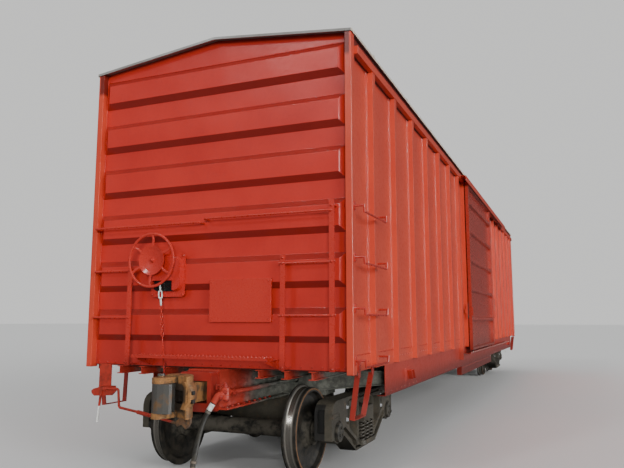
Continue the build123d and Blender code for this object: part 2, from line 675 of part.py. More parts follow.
def coupler_part():
    with BuildPart() as coupler:
        with BuildSketch(Plane.XY.offset(COUPLER_Z - 87)):
            with Locations(((COUPLER_PIN_X - 70 + 8210) / 2, 0)):
                Rectangle(8210 - COUPLER_PIN_X + 70, 2 * SHANK_HALF)
            with Locations((COUPLER_PIN_X, 0)):
                Circle(COUPLER_PIN_R + 0.05, mode=Mode.SUBTRACT)
        extrude(amount=174)
        with BuildSketch(Plane.XY.offset(HEAD_BOTTOM)):
            Polygon(*HEAD_OUTLINE, align=None)
        extrude(amount=HEAD_TOP - HEAD_BOTTOM)
        for z in (HEAD_BOTTOM, HEAD_TOP - 14 - LUG_T):
            with BuildSketch(Plane.XY.offset(z)):
                Polygon(*LUG_OUTLINE, align=None)
            extrude(amount=LUG_T)
        head_edges = coupler.edges().filter_by(Axis.Z).filter_by(lambda edge: edge.length > 300)
        fillet(head_edges.filter_by(lambda edge: edge.center().Y > 140), 14)
        for direction in (1, -1):
            with BuildSketch(Plane(origin=(0, 0, COUPLER_Z), x_dir=(1, 0, 0), z_dir=(0, 0, direction))):
                Polygon(*[(x, direction * y) for x, y in GUARD_OUTLINE], align=None)
            extrude(amount=96, taper=22)
        with Locations((8400, -96, HEAD_TOP - 8)):
            Cylinder(28, 12)
        with BuildSketch(Plane.YZ.offset(8330)):
            with Locations((226, COUPLER_Z + 34), (226, COUPLER_Z - 44)):
                RectangleRounded(46, 38, 16)
        extrude(amount=160, mode=Mode.SUBTRACT)
        with Locations((8332, 74, COUPLER_Z - 8)):
            Box(195, 128, 112, mode=Mode.SUBTRACT)
    return coupler.part


def knuckle_part():
    with BuildPart() as knuckle:
        with BuildSketch(Plane.XY.offset(HEAD_BOTTOM + LUG_T)):
            Polygon(*KNUCKLE_OUTLINE, align=None)
        extrude(amount=HEAD_TOP - HEAD_BOTTOM - 2 * LUG_T - 14)
        fillet(knuckle.edges().filter_by(Axis.Z).filter_by(lambda edge: edge.center().X > 8360), 10)
    return knuckle.part


for label, piece in (("coupler", coupler_part()), ("knuckle", knuckle_part())):
    with BuildPart() as at_b:
        add(piece)
    save(at_b, f"{label}_b")
    with BuildPart() as at_a:
        add(half_turn(piece))
    save(at_a, f"{label}_a")

# Train line, crossing through the centre sill, with clamps to the sill and an angle cock at each end

with BuildPart() as train_line:
    add(rod((
        (7950, TRAIN_LINE_Y, TRAIN_LINE_Z), (400, TRAIN_LINE_Y, TRAIN_LINE_Z),
        (-400, -TRAIN_LINE_Y, TRAIN_LINE_Z), (-7950, -TRAIN_LINE_Y, TRAIN_LINE_Z)), 150, 42))
    clamp_y = (SILL_HALF + 5 + TRAIN_LINE_Y) / 2
    for x in (2500, 4500, 7700):
        with Locations((x, clamp_y, TRAIN_LINE_Z), (-x, -clamp_y, TRAIN_LINE_Z)):
            Box(40, TRAIN_LINE_Y - SILL_HALF - 5, 24)
    angle_cock = rod(((7950, 300, 862), (7990, 300, 862), (8019.6, 255.3, 853.2), HOSE_ROUTE[0]), 34, 60)
    add(angle_cock)
    add(half_turn(angle_cock))
    for sign in (1, -1):
        with Locations((sign * 7968, sign * TRAIN_LINE_Y, TRAIN_LINE_Z + 4)):
            Cylinder(41, 104)
        with Locations(Location((sign * 7908, sign * TRAIN_LINE_Y, TRAIN_LINE_Z), (0, 90, 0))):
            Cylinder(35, 44)
save(train_line, "train_line")

# Air hoses and the coupling heads they carry


def hose_radii(points):
    radii = []
    for before, here, after in zip(points, points[1:], points[2:]):
        run_in = Vector(*here) - Vector(*before)
        run_out = Vector(*after) - Vector(*here)
        turn = run_in.get_angle(run_out)
        radii.append(0.45 * min(run_in.length, run_out.length) / math.tan(math.radians(turn / 2)))
    return radii


radii = hose_radii(HOSE_ROUTE)
print("air hose bend radii, mm:", [round(r) for r in radii])
with BuildPart() as air_hose_b:
    with BuildLine() as route:
        FilletPolyline(*HOSE_ROUTE, radius=radii)
    with BuildSketch(route.line ^ 0):
        Circle(HOSE_D / 2)
    sweep()
save(air_hose_b, "air_hose_b")

with BuildPart() as air_hose_a:
    add(half_turn(air_hose_b.part))
save(air_hose_a, "air_hose_a")

with BuildPart() as hose_coupling_b:
    with BuildSketch(Plane(origin=HOSE_ROUTE[-1], z_dir=(40, -6, -155))):
        Circle(22)
    extrude(amount=46)
    with Locations((8216, 112, 172)):
        Box(76, 46, 70)
    with Locations(Location((8236, 96, 172), (90, 0, 0))):
        Cylinder(38, 30)
save(hose_coupling_b, "hose_coupling_b")

with BuildPart() as hose_coupling_a:
    add(half_turn(hose_coupling_b.part))
save(hose_coupling_a, "hose_coupling_a")

# Air brake gear below the floor: reservoir, cylinder and control valve on hangers

GEAR_Y = 665
HANGER_TOP = BOLSTER_TOP


def tank(x, y, z, radius, length):
    with BuildPart() as shell:
        with Locations(Location((x, y, z), (0, 90, 0))):
            Cylinder(radius, length)
        fillet(shell.edges().filter_by(GeomType.CIRCLE), 40)
        with Locations(*[(x + dx * length * 0.3, y, (z + HANGER_TOP) / 2) for dx in (1, -1)]):
            Box(50, 2 * radius * 0.5, HANGER_TOP - z)
        with Locations(*[(x + dx * length * 0.3, y, HANGER_TOP - 5) for dx in (1, -1)]):
            Box(50, 340, 10)
    return shell.part


with BuildPart() as air_reservoir:
    add(tank(-500, -GEAR_Y, 775, 180, 1000))
save(air_reservoir, "air_reservoir")

with BuildPart() as brake_cylinder:
    add(tank(-450, GEAR_Y, 800, 150, 380))
    with Locations(Location((-155, GEAR_Y, 800), (0, 90, 0))):
        Cylinder(28, 210)
save(brake_cylinder, "brake_cylinder")

with BuildPart() as control_valve:
    with Locations((550, -GEAR_Y, 820)):
        Box(240, 220, 260)
    with Locations((550, -GEAR_Y, 969)):
        Box(120, 340, 38)
save(control_valve, "control_valve")

# Brake levers and rods along the centre sill

with BuildPart() as brake_levers:
    with Locations((-20, 450, 800), (520, 450, 800)):
        Box(60, 540, 22)
    with Locations((-20, 200, 752.5), (520, 200, 752.5)):
        Box(60, 60, 73)
    with Locations(Location((250, 600, 800), (0, 90, 0))):
        Cylinder(14, 480)
    for sign in (1, -1):
        with Locations(Location((sign * 2600, sign * 212, 650), (0, 90, 0))):
            Cylinder(14, 4000)
        with Locations(*[(sign * x, sign * 212, 675) for x in (700, 2600, 4500)]):
            Box(30, 40, 50)
save(brake_levers, "brake_levers")

# Trucks. Each is drawn about its own centre, then set below its bolster.


def frame_outline(points):
    return points + tuple((-x, z) for x, z in reversed(points) if x > 0)


FRAME_OUTLINE = (
    (0, 750), (870, 750), (940, 742), (996, 716), (1032, 674), (1048, 620), (1045, 385), (986, 385),
    (986, 585), (744, 585), (744, 385), (690, 385), (335, 176), (0, 176),
)
FRAME_WINDOW = ((-232, 246), (232, 246), (232, 680), (-232, 680))
FRAME_HOLE = ((292, 300), (540, 442), (540, 640), (292, 676))
FRAME_RECESS = 40
# Between the flanges: top member, upper link, the two-bolt pad, and the slanting lower member.
RECESS_OUTLINES = (
    ((0, 704), (540, 704), (540, 728), (0, 728)),
    ((252, 262), (272, 262), (272, 690), (252, 690)),
    ((552, 470), (632, 492), (632, 704), (552, 704)),
    ((0, 198), (325, 198), (672, 400), (716, 412), (716, 462), (660, 462), (330, 282), (300, 226), (0, 226)),
)


def side_frames_part():
    with BuildPart() as frames:
        for side in (1, -1):
            with BuildSketch(Plane.XZ.offset(-side * JOURNAL_Y)):
                Polygon(*frame_outline(FRAME_OUTLINE), align=None)
                Polygon(*FRAME_WINDOW, align=None, mode=Mode.SUBTRACT)
                for sign in (1, -1):
                    Polygon(*[(sign * x, z) for x, z in FRAME_HOLE], align=None, mode=Mode.SUBTRACT)
            extrude(amount=FRAME_HALF_T, both=True)
            for face in (1, -1):
                with BuildSketch(Plane.XZ.offset(-side * JOURNAL_Y - face * FRAME_HALF_T)):
                    for outline in RECESS_OUTLINES:
                        for sign in (1, -1):
                            Polygon(*[(sign * x, z) for x, z in outline], align=None)
                extrude(amount=face * FRAME_RECESS, mode=Mode.SUBTRACT)
            for sign in (1, -1):
                with Locations((sign * AXLE_HALF_BASE + sign * 1.5, side * JOURNAL_Y, 535)):
                    Box(242, 2 * FRAME_HALF_T, 100)
                with Locations((sign * 1028, side * 978, 560)):
                    Box(52, 76, 220, mode=Mode.SUBTRACT)
            with BuildSketch(Plane.XY.offset(214)):
                with Locations((0, side * JOURNAL_Y)):
                    RectangleRounded(450, 292, 60)
            extrude(amount=32)
            with BuildSketch(Plane.XY.offset(246)):
                with Locations((0, side * JOURNAL_Y)):
                    RectangleRounded(450, 292, 60)
                    RectangleRounded(434, 272, 52, mode=Mode.SUBTRACT)
            extrude(amount=14)
        for sign in (1, -1):
            with Locations(Location((sign * AXLE_HALF_BASE, 0, AXLE_Z), (90, 0, 0))):
                Cylinder(CUP_R, 2400, mode=Mode.SUBTRACT)
    return frames.part


def bearings_part():
    with BuildPart() as cups:
        for sign in (1, -1):
            for side in (1, -1):
                with Locations(Location((sign * AXLE_HALF_BASE, side * JOURNAL_Y, AXLE_Z), (90, 0, 0))):
                    Cylinder(CUP_R, 2 * CUP_HALF)
                    Cylinder(JOURNAL_R + 0.05, 2 * CUP_HALF + 10, mode=Mode.SUBTRACT)
    return cups.part


def truck_bolster_part():
    with BuildPart() as bolster:
        with BuildSketch(Plane.YZ.offset(-168)):
            Polygon(
                (0, 655), (760, 655), (880, 610), (1130, 600), (1130, 452), (860, 452), (520, 420), (0, 400),
                align=None)
            mirror(about=Plane.YZ)
        extrude(amount=336)
        with BuildSketch(Plane.XY.offset(655)):
            Circle(240)
        extrude(amount=35)
        with BuildSketch(Plane.XY.offset(CENTER_PLATE_Z - 0.5)):
            Circle(CENTER_PLATE_R + 0.3)
        extrude(amount=30, mode=Mode.SUBTRACT)
        with Locations((0, SIDE_BEARING_Y, 677), (0, -SIDE_BEARING_Y, 677)):
            Box(240, 80, 46)
        for side in (1, -1):
            with Locations((200, side * JOURNAL_Y, 520), (-200, side * JOURNAL_Y, 520)):
                Box(64, 110, 120)
    return bolster.part


def springs_part():
    with BuildPart() as springs:
        for side in (1, -1):
            with Locations((0, side * JOURNAL_Y, 349)):
                with GridLocations(145, 134, 3, 2):
                    Cylinder(64, 206)
    return springs.part


def brake_beams_part():
    with BuildPart() as beams:
        for sign in (1, -1):
            with Locations((sign * 380, 0, 360)):
                Box(50, 2 * (JOURNAL_Y - FRAME_HALF_T), 46)
            with Locations((sign * 430, 762, 365), (sign * 430, -762, 365)):
                Box(94, 86, 230)
        for sign in (1, -1):
            with Locations(Location((sign * AXLE_HALF_BASE, 0, AXLE_Z), (90, 0, 0))):
                Cylinder(428, 2 * 812, mode=Mode.SUBTRACT)
    return beams.part


WHEELSET_PROFILE = (
    (0, 0), (0, 82), (610, 84), (654, 96), (655, 136), (700, 144), (726, 200), (722, 300), (700, 362),
    (676, 380), (674.5, 384), (674.5, 436), (682, 444.5), (694, 444.5), (706, 432), (714, 421), (812, 416),
    (819.5, 408), (819.5, 378), (775, 370), (752, 340), (752, 250), (768, 180), (800, 148), (838, 138),
    (838, 96), (876, 90), (880, 78), (916, 78), (918, JOURNAL_R), (1090, JOURNAL_R), (1090, 94),
    (1116, 90), (1122, 60), (1122, 0),
)


def wheelset_part():
    with BuildPart() as wheelset:
        with BuildSketch(Plane.YZ):
            Polygon(*[(y, AXLE_Z + r) for y, r in WHEELSET_PROFILE], align=None)
            mirror(about=Plane.YZ)
        revolve(axis=Axis((0, 0, AXLE_Z), (0, 1, 0)))
    return wheelset.part


for label, piece in (
    ("side_frames", side_frames_part()), ("bearings", bearings_part()),
    ("truck_bolster", truck_bolster_part()), ("springs", springs_part()), ("brake_beams", brake_beams_part()),
):
    for end, sign in (("b", 1), ("a", -1)):
        with BuildPart() as set_down:
            add(piece.moved(Location((sign * TRUCK_X, 0, 0))))
        save(set_down, f"{label}_{end}")

wheelset = wheelset_part()
AXLE_PLACES = [sign * TRUCK_X + offset for sign in (1, -1) for offset in (AXLE_HALF_BASE, -AXLE_HALF_BASE)]
for number, x in enumerate(AXLE_PLACES, 1):
    with BuildPart() as set_down:
        add(wheelset.moved(Location((x, 0, 0))))
    save(set_down, f"wheelset_{number}")
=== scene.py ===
import math
import random

import bmesh
import bpy
from mathutils import Matrix, Vector


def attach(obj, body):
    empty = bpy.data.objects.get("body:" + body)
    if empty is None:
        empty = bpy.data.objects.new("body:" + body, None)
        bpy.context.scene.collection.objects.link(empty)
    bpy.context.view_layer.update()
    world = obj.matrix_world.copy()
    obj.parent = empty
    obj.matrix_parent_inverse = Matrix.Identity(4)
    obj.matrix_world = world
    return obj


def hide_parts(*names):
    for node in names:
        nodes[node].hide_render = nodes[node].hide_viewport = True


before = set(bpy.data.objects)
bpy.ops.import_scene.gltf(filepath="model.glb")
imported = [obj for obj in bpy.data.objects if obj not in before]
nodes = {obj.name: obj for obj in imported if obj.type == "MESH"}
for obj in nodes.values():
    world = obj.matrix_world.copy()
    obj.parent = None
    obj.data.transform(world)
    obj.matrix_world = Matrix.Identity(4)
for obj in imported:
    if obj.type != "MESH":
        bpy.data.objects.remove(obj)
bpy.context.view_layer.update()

# Camera: at a standing person's height off the corner beside the hand brake, tilted a little up,
# so that the end, the long side and the near truck all show.
CAMERA_PLACE = (13.116, 3.298, 1.523)
TURNED_LEFT = 0.3941
TILTED_UP = 0.1365


def add_to_scene(name, data):
    added = bpy.data.objects.new(name, data)
    bpy.context.scene.collection.objects.link(added)
    return added


camera_data = bpy.data.cameras.new("camera")
camera_data.sensor_fit = "HORIZONTAL"
camera_data.sensor_width = 36
camera_data.lens = 36.41
camera_data.clip_end = 400
camera = add_to_scene("camera", camera_data)
camera.location = CAMERA_PLACE
camera.rotation_euler = (math.pi / 2 + TILTED_UP, 0, math.pi / 2 + TURNED_LEFT)
bpy.context.scene.camera = camera

# Air hoses: one at each end, black ribbed rubber pushed over the nipple of the angle cock, held by a
# painted band and a clamp, and hanging to its coupling head just above the ground.
ENDS = (("b", 1), ("a", -1))
HOSE_ROUTE = (
    (8.042, 0.221, 0.786), (8.074, 0.172, 0.690), (8.112, 0.137, 0.565), (8.160, 0.125, 0.405),
    (8.200, 0.119, 0.250),
)
HOSE_RADIUS = 0.024
RIB_HEIGHT = 0.0011
RIB_SPACING = 0.010


def feed(socket, value):
    # A number or a colour is set on the socket itself; another node's output is linked to it.
    if isinstance(value, bpy.types.NodeSocket):
        socket.id_data.links.new(value, socket)
    elif value is not None:
        socket.default_value = value


def feed_all(node, **values):
    # The input called Base Color is given here as Base_Color, and so on.
    for name, value in values.items():
        feed(node.inputs[name.replace("_", " ")], value)
    return node


def node_after(kind, *values, **settings):
    # A new node beside the nodes that the values come from, with the values on its first inputs.
    tree = next(value.id_data for value in values if isinstance(value, bpy.types.NodeSocket))
    node = tree.nodes.new(f"ShaderNode{kind}")
    for name, setting in settings.items():
        setattr(node, name, setting)
    for socket, value in zip(node.inputs, values):
        feed(socket, value)
    return node


def math_node(operation, *values, clamp=False):
    return node_after("Math", *values, operation=operation, use_clamp=clamp).outputs[0]


def plus(first, second, clamp=False):
    return math_node("ADD", first, second, clamp=clamp)


def times(first, second, clamp=False):
    return math_node("MULTIPLY", first, second, clamp=clamp)


def remap(value, low, high, out_low=0.0, out_high=1.0):
    node = node_after("MapRange", value, low, high, out_low, out_high, interpolation_type="SMOOTHSTEP")
    return node.outputs[0]


def mix_colors(share, first, second):
    node = node_after("Mix", share, data_type="RGBA")
    feed(node.inputs[6], first)
    feed(node.inputs[7], second)
    return node.outputs[2]


def object_place(tree, kind="Object"):
    return tree.nodes.new("ShaderNodeTexCoord").outputs[kind]


def axes(vector):
    return node_after("SeparateXYZ", vector).outputs


def noise_at(place, scale, detail=2.0, roughness=0.5):
    node = feed_all(node_after("TexNoise", place), Scale=scale, Detail=detail, Roughness=roughness)
    return node.outputs["Fac"]


def bump(height, distance, strength=1.0):
    node = height.id_data.nodes.new("ShaderNodeBump")
    return feed_all(node, Distance=distance, Strength=strength, Height=height).outputs["Normal"]


def new_material(name):
    material = bpy.data.materials.new(name)
    material.use_nodes = True
    return material, material.node_tree, material.node_tree.nodes["Principled BSDF"]


def new_group(name, inputs, outputs):
    # The inputs are given with their first values. Of the outputs, only Color is a colour.
    group = bpy.data.node_groups.new(name, "ShaderNodeTree")
    for socket_name, start in inputs.items():
        kind = "NodeSocketColor" if isinstance(start, tuple) else "NodeSocketFloat"
        group.interface.new_socket(socket_name, in_out="INPUT", socket_type=kind).default_value = start
    for socket_name in outputs:
        kind = "NodeSocketColor" if socket_name == "Color" else "NodeSocketFloat"
        group.interface.new_socket(socket_name, in_out="OUTPUT", socket_type=kind)
    return group, group.nodes.new("NodeGroupInput").outputs, group.nodes.new("NodeGroupOutput").inputs


def placed_group(tree, group, **values):
    node = tree.nodes.new("ShaderNodeGroup")
    node.node_tree = group
    return feed_all(node, **values).outputs


# Grime: dust and dull patches, more on faces that look up and nearer the ground.
grime_group, grime_in, grime_out = new_group(
    "grime",
    {"Clean": (0.5, 0.5, 0.5, 1), "Dust": (0.2, 0.18, 0.15, 1), "Amount": 0.5, "Low": 0.0, "High": 1.0},
    ("Color", "Mask"))
place = object_place(grime_group)
near_ground = remap(axes(place)["Z"], grime_in["High"], grime_in["Low"])
looks_up = remap(axes(object_place(grime_group, "Normal"))["Z"], 0.2, 0.95, 0.0, 0.55)
patches = remap(noise_at(place, 5.0, 6.0, 0.62), 0.34, 0.68)
specks = remap(noise_at(place, 70.0, 3.0, 0.6), 0.4, 0.75)
cover = times(plus(times(near_ground, 0.75), looks_up), plus(times(patches, 0.7), times(specks, 0.35)))
cover = times(cover, grime_in["Amount"], clamp=True)
feed(grime_out["Color"], mix_colors(cover, grime_in["Clean"], grime_in["Dust"]))
feed(grime_out["Mask"], cover)


def add_grime(tree, clean, dust, amount, low, high):
    soiled = placed_group(tree, grime_group, Clean=clean, Dust=dust, Amount=amount, Low=low, High=high)
    return soiled["Color"], soiled["Mask"]


def finished_mesh(mesh_builder, name):
    mesh = bpy.data.meshes.new(name)
    mesh_builder.to_mesh(mesh)
    mesh_builder.free()
    return mesh


def place_piece(mesh_builder, name, material, body="car", smooth=True):
    mesh = finished_mesh(mesh_builder, name)
    for polygon in mesh.polygons:
        polygon.use_smooth = smooth
    mesh.materials.append(material)
    piece = add_to_scene(name, mesh)
    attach(piece, body)
    return piece


def round_edges(piece, width, segments=2, angle=32):
    # A finished look to a piece's arrises: loose facets are welded, then the sharp edges rounded.
    weld = piece.modifiers.new("weld", "WELD")
    weld.merge_threshold = 0.00005
    rounding = piece.modifiers.new("rounding", "BEVEL")
    rounding.width = width
    rounding.segments = segments
    rounding.limit_method = "ANGLE"
    rounding.angle_limit = math.radians(angle)
    rounding.harden_normals = False
    shading = piece.modifiers.new("shading", "WEIGHTED_NORMAL")
    shading.keep_sharp = False
    shading.weight = 70


def dress(node_name, material, *rounding):
    # A solid's material and, where a width is given, its rounded edges.
    for slot in nodes[node_name].material_slots:
        slot.material = material
    if rounding:
        round_edges(nodes[node_name], *rounding)


hose_rubber, tree, shader = new_material("hose_rubber")
color, dust = add_grime(tree, (0.021, 0.021, 0.019, 1), (0.085, 0.075, 0.055, 1), 1.1, 0.1, 0.9)
feed_all(
    shader, Base_Color=color, Roughness=remap(dust, 0.0, 0.6, 0.42, 0.85),
    Normal=bump(noise_at(object_place(tree), 420.0, 3.0), 0.0006))

band_white, tree, shader = new_material("band_white")
smears = remap(noise_at(object_place(tree), 60.0, 4.0), 0.45, 0.75)
feed_all(shader, Base_Color=mix_colors(smears, (0.78, 0.78, 0.75, 1), (0.45, 0.42, 0.37, 1)), Roughness=0.38)

fitting_iron, tree, shader = new_material("fitting_iron")
color, dust = add_grime(tree, (0.15, 0.14, 0.125, 1), (0.24, 0.19, 0.14, 1), 1.3, 0.1, 1.2)
feed_all(
    shader, Base_Color=color, Roughness=remap(dust, 0.0, 0.7, 0.42, 0.8), Metallic=0.35,
    Normal=bump(noise_at(object_place(tree), 160.0, 4.0), 0.0012))


def pointed(direction, across="X"):
    return Vector(direction).to_track_quat("Z", across).to_matrix().to_4x4()


def edges_of(made):
    return list(dict.fromkeys(edge for vert in made["verts"] for edge in vert.link_edges))


def point_along(path, distance):
    for first, second in zip(path, path[1:]):
        step = second - first
        if distance <= step.length or second is path[-1]:
            return first + step.normalized() * distance, step.normalized()
        distance -= step.length


def sleeve(path, start, radii_at):
    # Rings along part of the path, bridged one to the next, with both ends closed.
    mesh_builder = bmesh.new()
    before = None
    for distance, radius in radii_at:
        centre, direction = point_along(path, start + distance)
        ring = edges_of(bmesh.ops.create_circle(
            mesh_builder, cap_ends=False, radius=radius, segments=24,
            matrix=Matrix.Translation(centre) @ pointed(direction)))
        if before is None:
            bmesh.ops.edgeloop_fill(mesh_builder, edges=ring)
        else:
            bmesh.ops.bridge_loops(mesh_builder, edges=before + ring)
        before = ring
    bmesh.ops.edgeloop_fill(mesh_builder, edges=before)
    bmesh.ops.recalc_face_normals(mesh_builder, faces=mesh_builder.faces)
    return mesh_builder


def collar(path, start, width, radius, edge, lift):
    # A band round the hose, a little lower along both of its edges.
    low = radius - lift
    return sleeve(path, start, ((0.0, low), (edge, radius), (width - edge, radius), (width, low)))


for end, turn in ENDS:
    route = bpy.data.curves.new(f"hose_route_{end}", "CURVE")
    route.dimensions = "3D"
    route.resolution_u = 16
    spline = route.splines.new("NURBS")
    spline.points.add(len(HOSE_ROUTE) - 1)
    for point, (x, y, z) in zip(spline.points, HOSE_ROUTE):
        point.co = (turn * x, turn * y, z, 1)
    spline.order_u = 3
    spline.use_endpoint_u = True
    route_object = add_to_scene(f"hose_route_{end}", route)
    route_line = bpy.data.meshes.new_from_object(route_object)
    hose_path = [vert.co.copy() for vert in route_line.vertices]
    bpy.data.objects.remove(route_object)
    hose_length = sum((second - first).length for first, second in zip(hose_path, hose_path[1:]))

    rib_count = int(hose_length / RIB_SPACING)
    radii_at = [(0.0, HOSE_RADIUS - RIB_HEIGHT)]
    for k in range(rib_count):
        for share, lift in ((0.2, 0.0), (0.4, 1.0), (0.75, 1.0), (0.95, 0.0)):
            radii_at.append(((k + share) * hose_length / rib_count, HOSE_RADIUS - (1 - lift) * RIB_HEIGHT))
    radii_at.append((hose_length, HOSE_RADIUS - RIB_HEIGHT))
    hose = place_piece(
        sleeve(hose_path, 0.0, radii_at), f"rubber_hose_{end}", hose_rubber, "car")
    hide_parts(f"air_hose_{end}")

    white_band = place_piece(
        collar(hose_path, 0.010, 0.066, 0.0256, 0.002, 0.0011), f"hose_band_{end}", band_white, "car")
    clamps = [
        place_piece(
            collar(hose_path, start, width, 0.0275, 0.001, 0.0015), f"{name}_{end}", fitting_iron, "car",
            smooth=False)
        for name, start, width in (
            ("hose_clamp", 0.082, 0.022), ("hose_lower_clamp", hose_length - 0.05, 0.021))]
    dress(f"hose_coupling_{end}", fitting_iron)

# Studio: a plain pale floor, an even pale sky, three broad soft lamps, and two small ones and a tall
# narrow panel whose shine lies on rounded edges, welds and worn steel. Floor and sky look pale to the
# camera but throw back less light.
floor_builder = bmesh.new()
bmesh.ops.create_grid(floor_builder, x_segments=1, y_segments=1, size=250)
bmesh.ops.translate(floor_builder, verts=floor_builder.verts, vec=(0, 0, -0.002))
studio_floor = add_to_scene("studio_floor", finished_mesh(floor_builder, "studio_floor"))
pale_floor, tree, shader = new_material("pale_floor")
light_path = tree.nodes.new("ShaderNodeLightPath").outputs
floor_color = mix_colors(light_path["Is Camera Ray"], (0.16, 0.16, 0.155, 1), (0.86, 0.86, 0.85, 1))
feed_all(shader, Base_Color=floor_color, Roughness=0.9, Specular_IOR_Level=0.0)
studio_floor.data.materials.append(pale_floor)

world = bpy.data.worlds.new("pale_sky")
bpy.context.scene.world = world
world.use_nodes = True
light_path = world.node_tree.nodes.new("ShaderNodeLightPath").outputs
sky_light = mix_colors(light_path["Is Glossy Ray"], (0.38, 0.385, 0.39, 1), (0.085, 0.08, 0.08, 1))
sky_color = mix_colors(light_path["Is Camera Ray"], sky_light, (0.80, 0.80, 0.79, 1))
feed_all(world.node_tree.nodes["Background"], Color=sky_color)

for name, strength, soft_degrees, toward, shines in (
    ("front_lamp", 1.8, 16, (-0.87, -0.44, -0.10), False),
    ("side_lamp", 2.0, 40, (-0.40, -0.90, -0.16), False),
    ("top_lamp", 0.45, 60, (-0.25, 0.35, -0.9), False),
    ("left_glint_lamp", 0.35, 7, (-0.80, 0.34, -0.50), True),
    ("right_glint_lamp", 0.30, 10, (-0.46, -0.87, -0.25), True),
):
    lamp_data = bpy.data.lights.new(name, "SUN")
    lamp_data.energy = strength
    lamp_data.angle = math.radians(soft_degrees)
    lamp = add_to_scene(name, lamp_data)
    lamp.rotation_mode = "QUATERNION"
    lamp.rotation_quaternion = Vector(toward).to_track_quat("-Z", "Y")
    lamp.visible_glossy = shines

streak_data = bpy.data.lights.new("streak_panel", "AREA")
streak_data.shape = "RECTANGLE"
streak_data.size = 2.5
streak_data.size_y = 20
streak_data.energy = 24000
streak_panel = add_to_scene("streak_panel", streak_data)
streak_panel.location = (-2, 41, 10)
streak_panel.rotation_euler = (math.pi / 2, 0, math.radians(187))
streak_panel.visible_diffuse = False
streak_panel.visible_camera = False

# Side walls: pressed steel sheets each side of the doorway, with a lapped foot and seven hat-section
# posts welded on, all sprayed in fresh glossy vermilion.
POST_TOPS_Z = 4.03
SIDE_FACE = 1.450
LAP_FACE = 1.456
POST_COUNT = 7
POST_PITCH = 0.840
FIRST_POST = 7.170
VERMILION = (0.55, 0.033, 0.022, 1)
VERMILION_DEEP = (0.41, 0.021, 0.016, 1)
# A deep red laid on sprayed sheets as painted shade and painted shadow.
PAINTED_SHADE_RED = (0.10, 0.010, 0.009, 1)
FLOOR_DUST = (0.30, 0.145, 0.10, 1)

sprayed_group, sprayed_in, sprayed_out = new_group(
    "sprayed_sheet", {"Paint": VERMILION, "Thin": VERMILION_DEEP, "Gloss": 0.3, "Waves": 1.0},
    ("Color", "Roughness", "Height"))
place = object_place(sprayed_group)
passes = remap(noise_at(place, 1.3, 5.0, 0.6), 0.36, 0.66)
mottle = remap(noise_at(place, 26.0, 4.0, 0.6), 0.42, 0.78)
thin_share = plus(times(passes, 0.38), times(mottle, 0.22), clamp=True)
buckles = times(noise_at(place, 2.1, 1.0, 0.4), sprayed_in["Waves"])
feed(sprayed_out["Color"], mix_colors(thin_share, sprayed_in["Paint"], sprayed_in["Thin"]))
feed(sprayed_out["Roughness"], plus(sprayed_in["Gloss"], times(mottle, 0.14)))
feed(sprayed_out["Height"], plus(buckles, times(noise_at(place, 240.0, 1.0), 0.012)))


def absolute(value):
    return math_node("ABSOLUTE", value)


def sprayed_paint(
        name, paint, thin, gloss, waves, coat, dust_amount, dust_high, fade=(1.0, 1.3, 0.5), flank_shade=0.0,
        eaves=0.0):
    # Painted shade: the colour is darkened towards the bottom below the fade's heights and on the up- and
    #     # down-facing flanks of pressed ribs, and a painted shadow darkens the sheet just under the eaves.
    #     The
    #     # fade's third number and the flank number are shares.
    material, tree, shader = new_material(name)
    coats = placed_group(tree, sprayed_group, Paint=paint, Thin=thin, Gloss=gloss, Waves=waves)
    place_xyz = axes(object_place(tree))
    low_shade = remap(place_xyz["Z"], fade[1], fade[0], 0.0, fade[2])
    coated = mix_colors(low_shade, coats["Color"], PAINTED_SHADE_RED)
    if flank_shade:
        facing_up = axes(object_place(tree, "Normal"))["Z"]
        under = remap(facing_up, -0.05, -0.60, 0.0, flank_shade)
        over = remap(facing_up, 0.05, 0.55, 0.0, 0.9 * flank_shade)
        coated = mix_colors(plus(under, over), coated, PAINTED_SHADE_RED)
    if eaves:
        sheet_only = remap(absolute(place_xyz["Y"]), 1.468, 1.458)
        shaded = times(remap(place_xyz["Z"], eaves - 0.055, eaves, 0.0, 0.85), sheet_only)
        coated = mix_colors(shaded, coated, PAINTED_SHADE_RED)
    color, dust = add_grime(tree, coated, FLOOR_DUST, dust_amount, 0.4, dust_high)
    feed_all(
        shader, Base_Color=color, Roughness=plus(coats["Roughness"], times(dust, 0.35)),
        Normal=bump(coats["Height"], 0.02, 0.55), Coat_Weight=coat, Coat_Roughness=0.12)
    return material


# The walls' colour has painted shade towards the foot and a painted shadow on the sheet just under the top
# chords, between the posts.
wall_red = sprayed_paint(
    "wall_red", (0.62, 0.064, 0.030, 1), (0.47, 0.038, 0.021, 1), 0.30, 1.0, 0.35, 0.22, 1.6,
    (0.97, 1.10, 0.6), eaves=POST_TOPS_Z)
fitting_red = sprayed_paint(
    "fitting_red", (0.52, 0.037, 0.023, 1), VERMILION_DEEP, 0.27, 0.05, 0.45, 0.25, 1.3)
for side in ("right", "left"):
    dress(f"side_{side}", wall_red, 0.009, 3)

# Welds and rivets of the walls: a hand-laid bead up each edge of every post and along the lapped
# foot, and a row of button heads through the foot into the sill.
LAP_WELD_Z = 1.213
LAP_RIVET_Z = 1.145
POST_HALF_WIDTH = 0.0925
WALL_BEAD = 0.0042
WELD_STEP = 0.02


def rod(mesh_builder, centre, radius, depth, segments, turn=Matrix(), end_radius=None):
    # A round bar or disc about its middle, along Z where it isn't turned.
    return bmesh.ops.create_cone(
        mesh_builder, cap_ends=True, segments=segments, radius1=radius, radius2=end_radius or radius,
        depth=depth, matrix=Matrix.Translation(centre) @ turn)


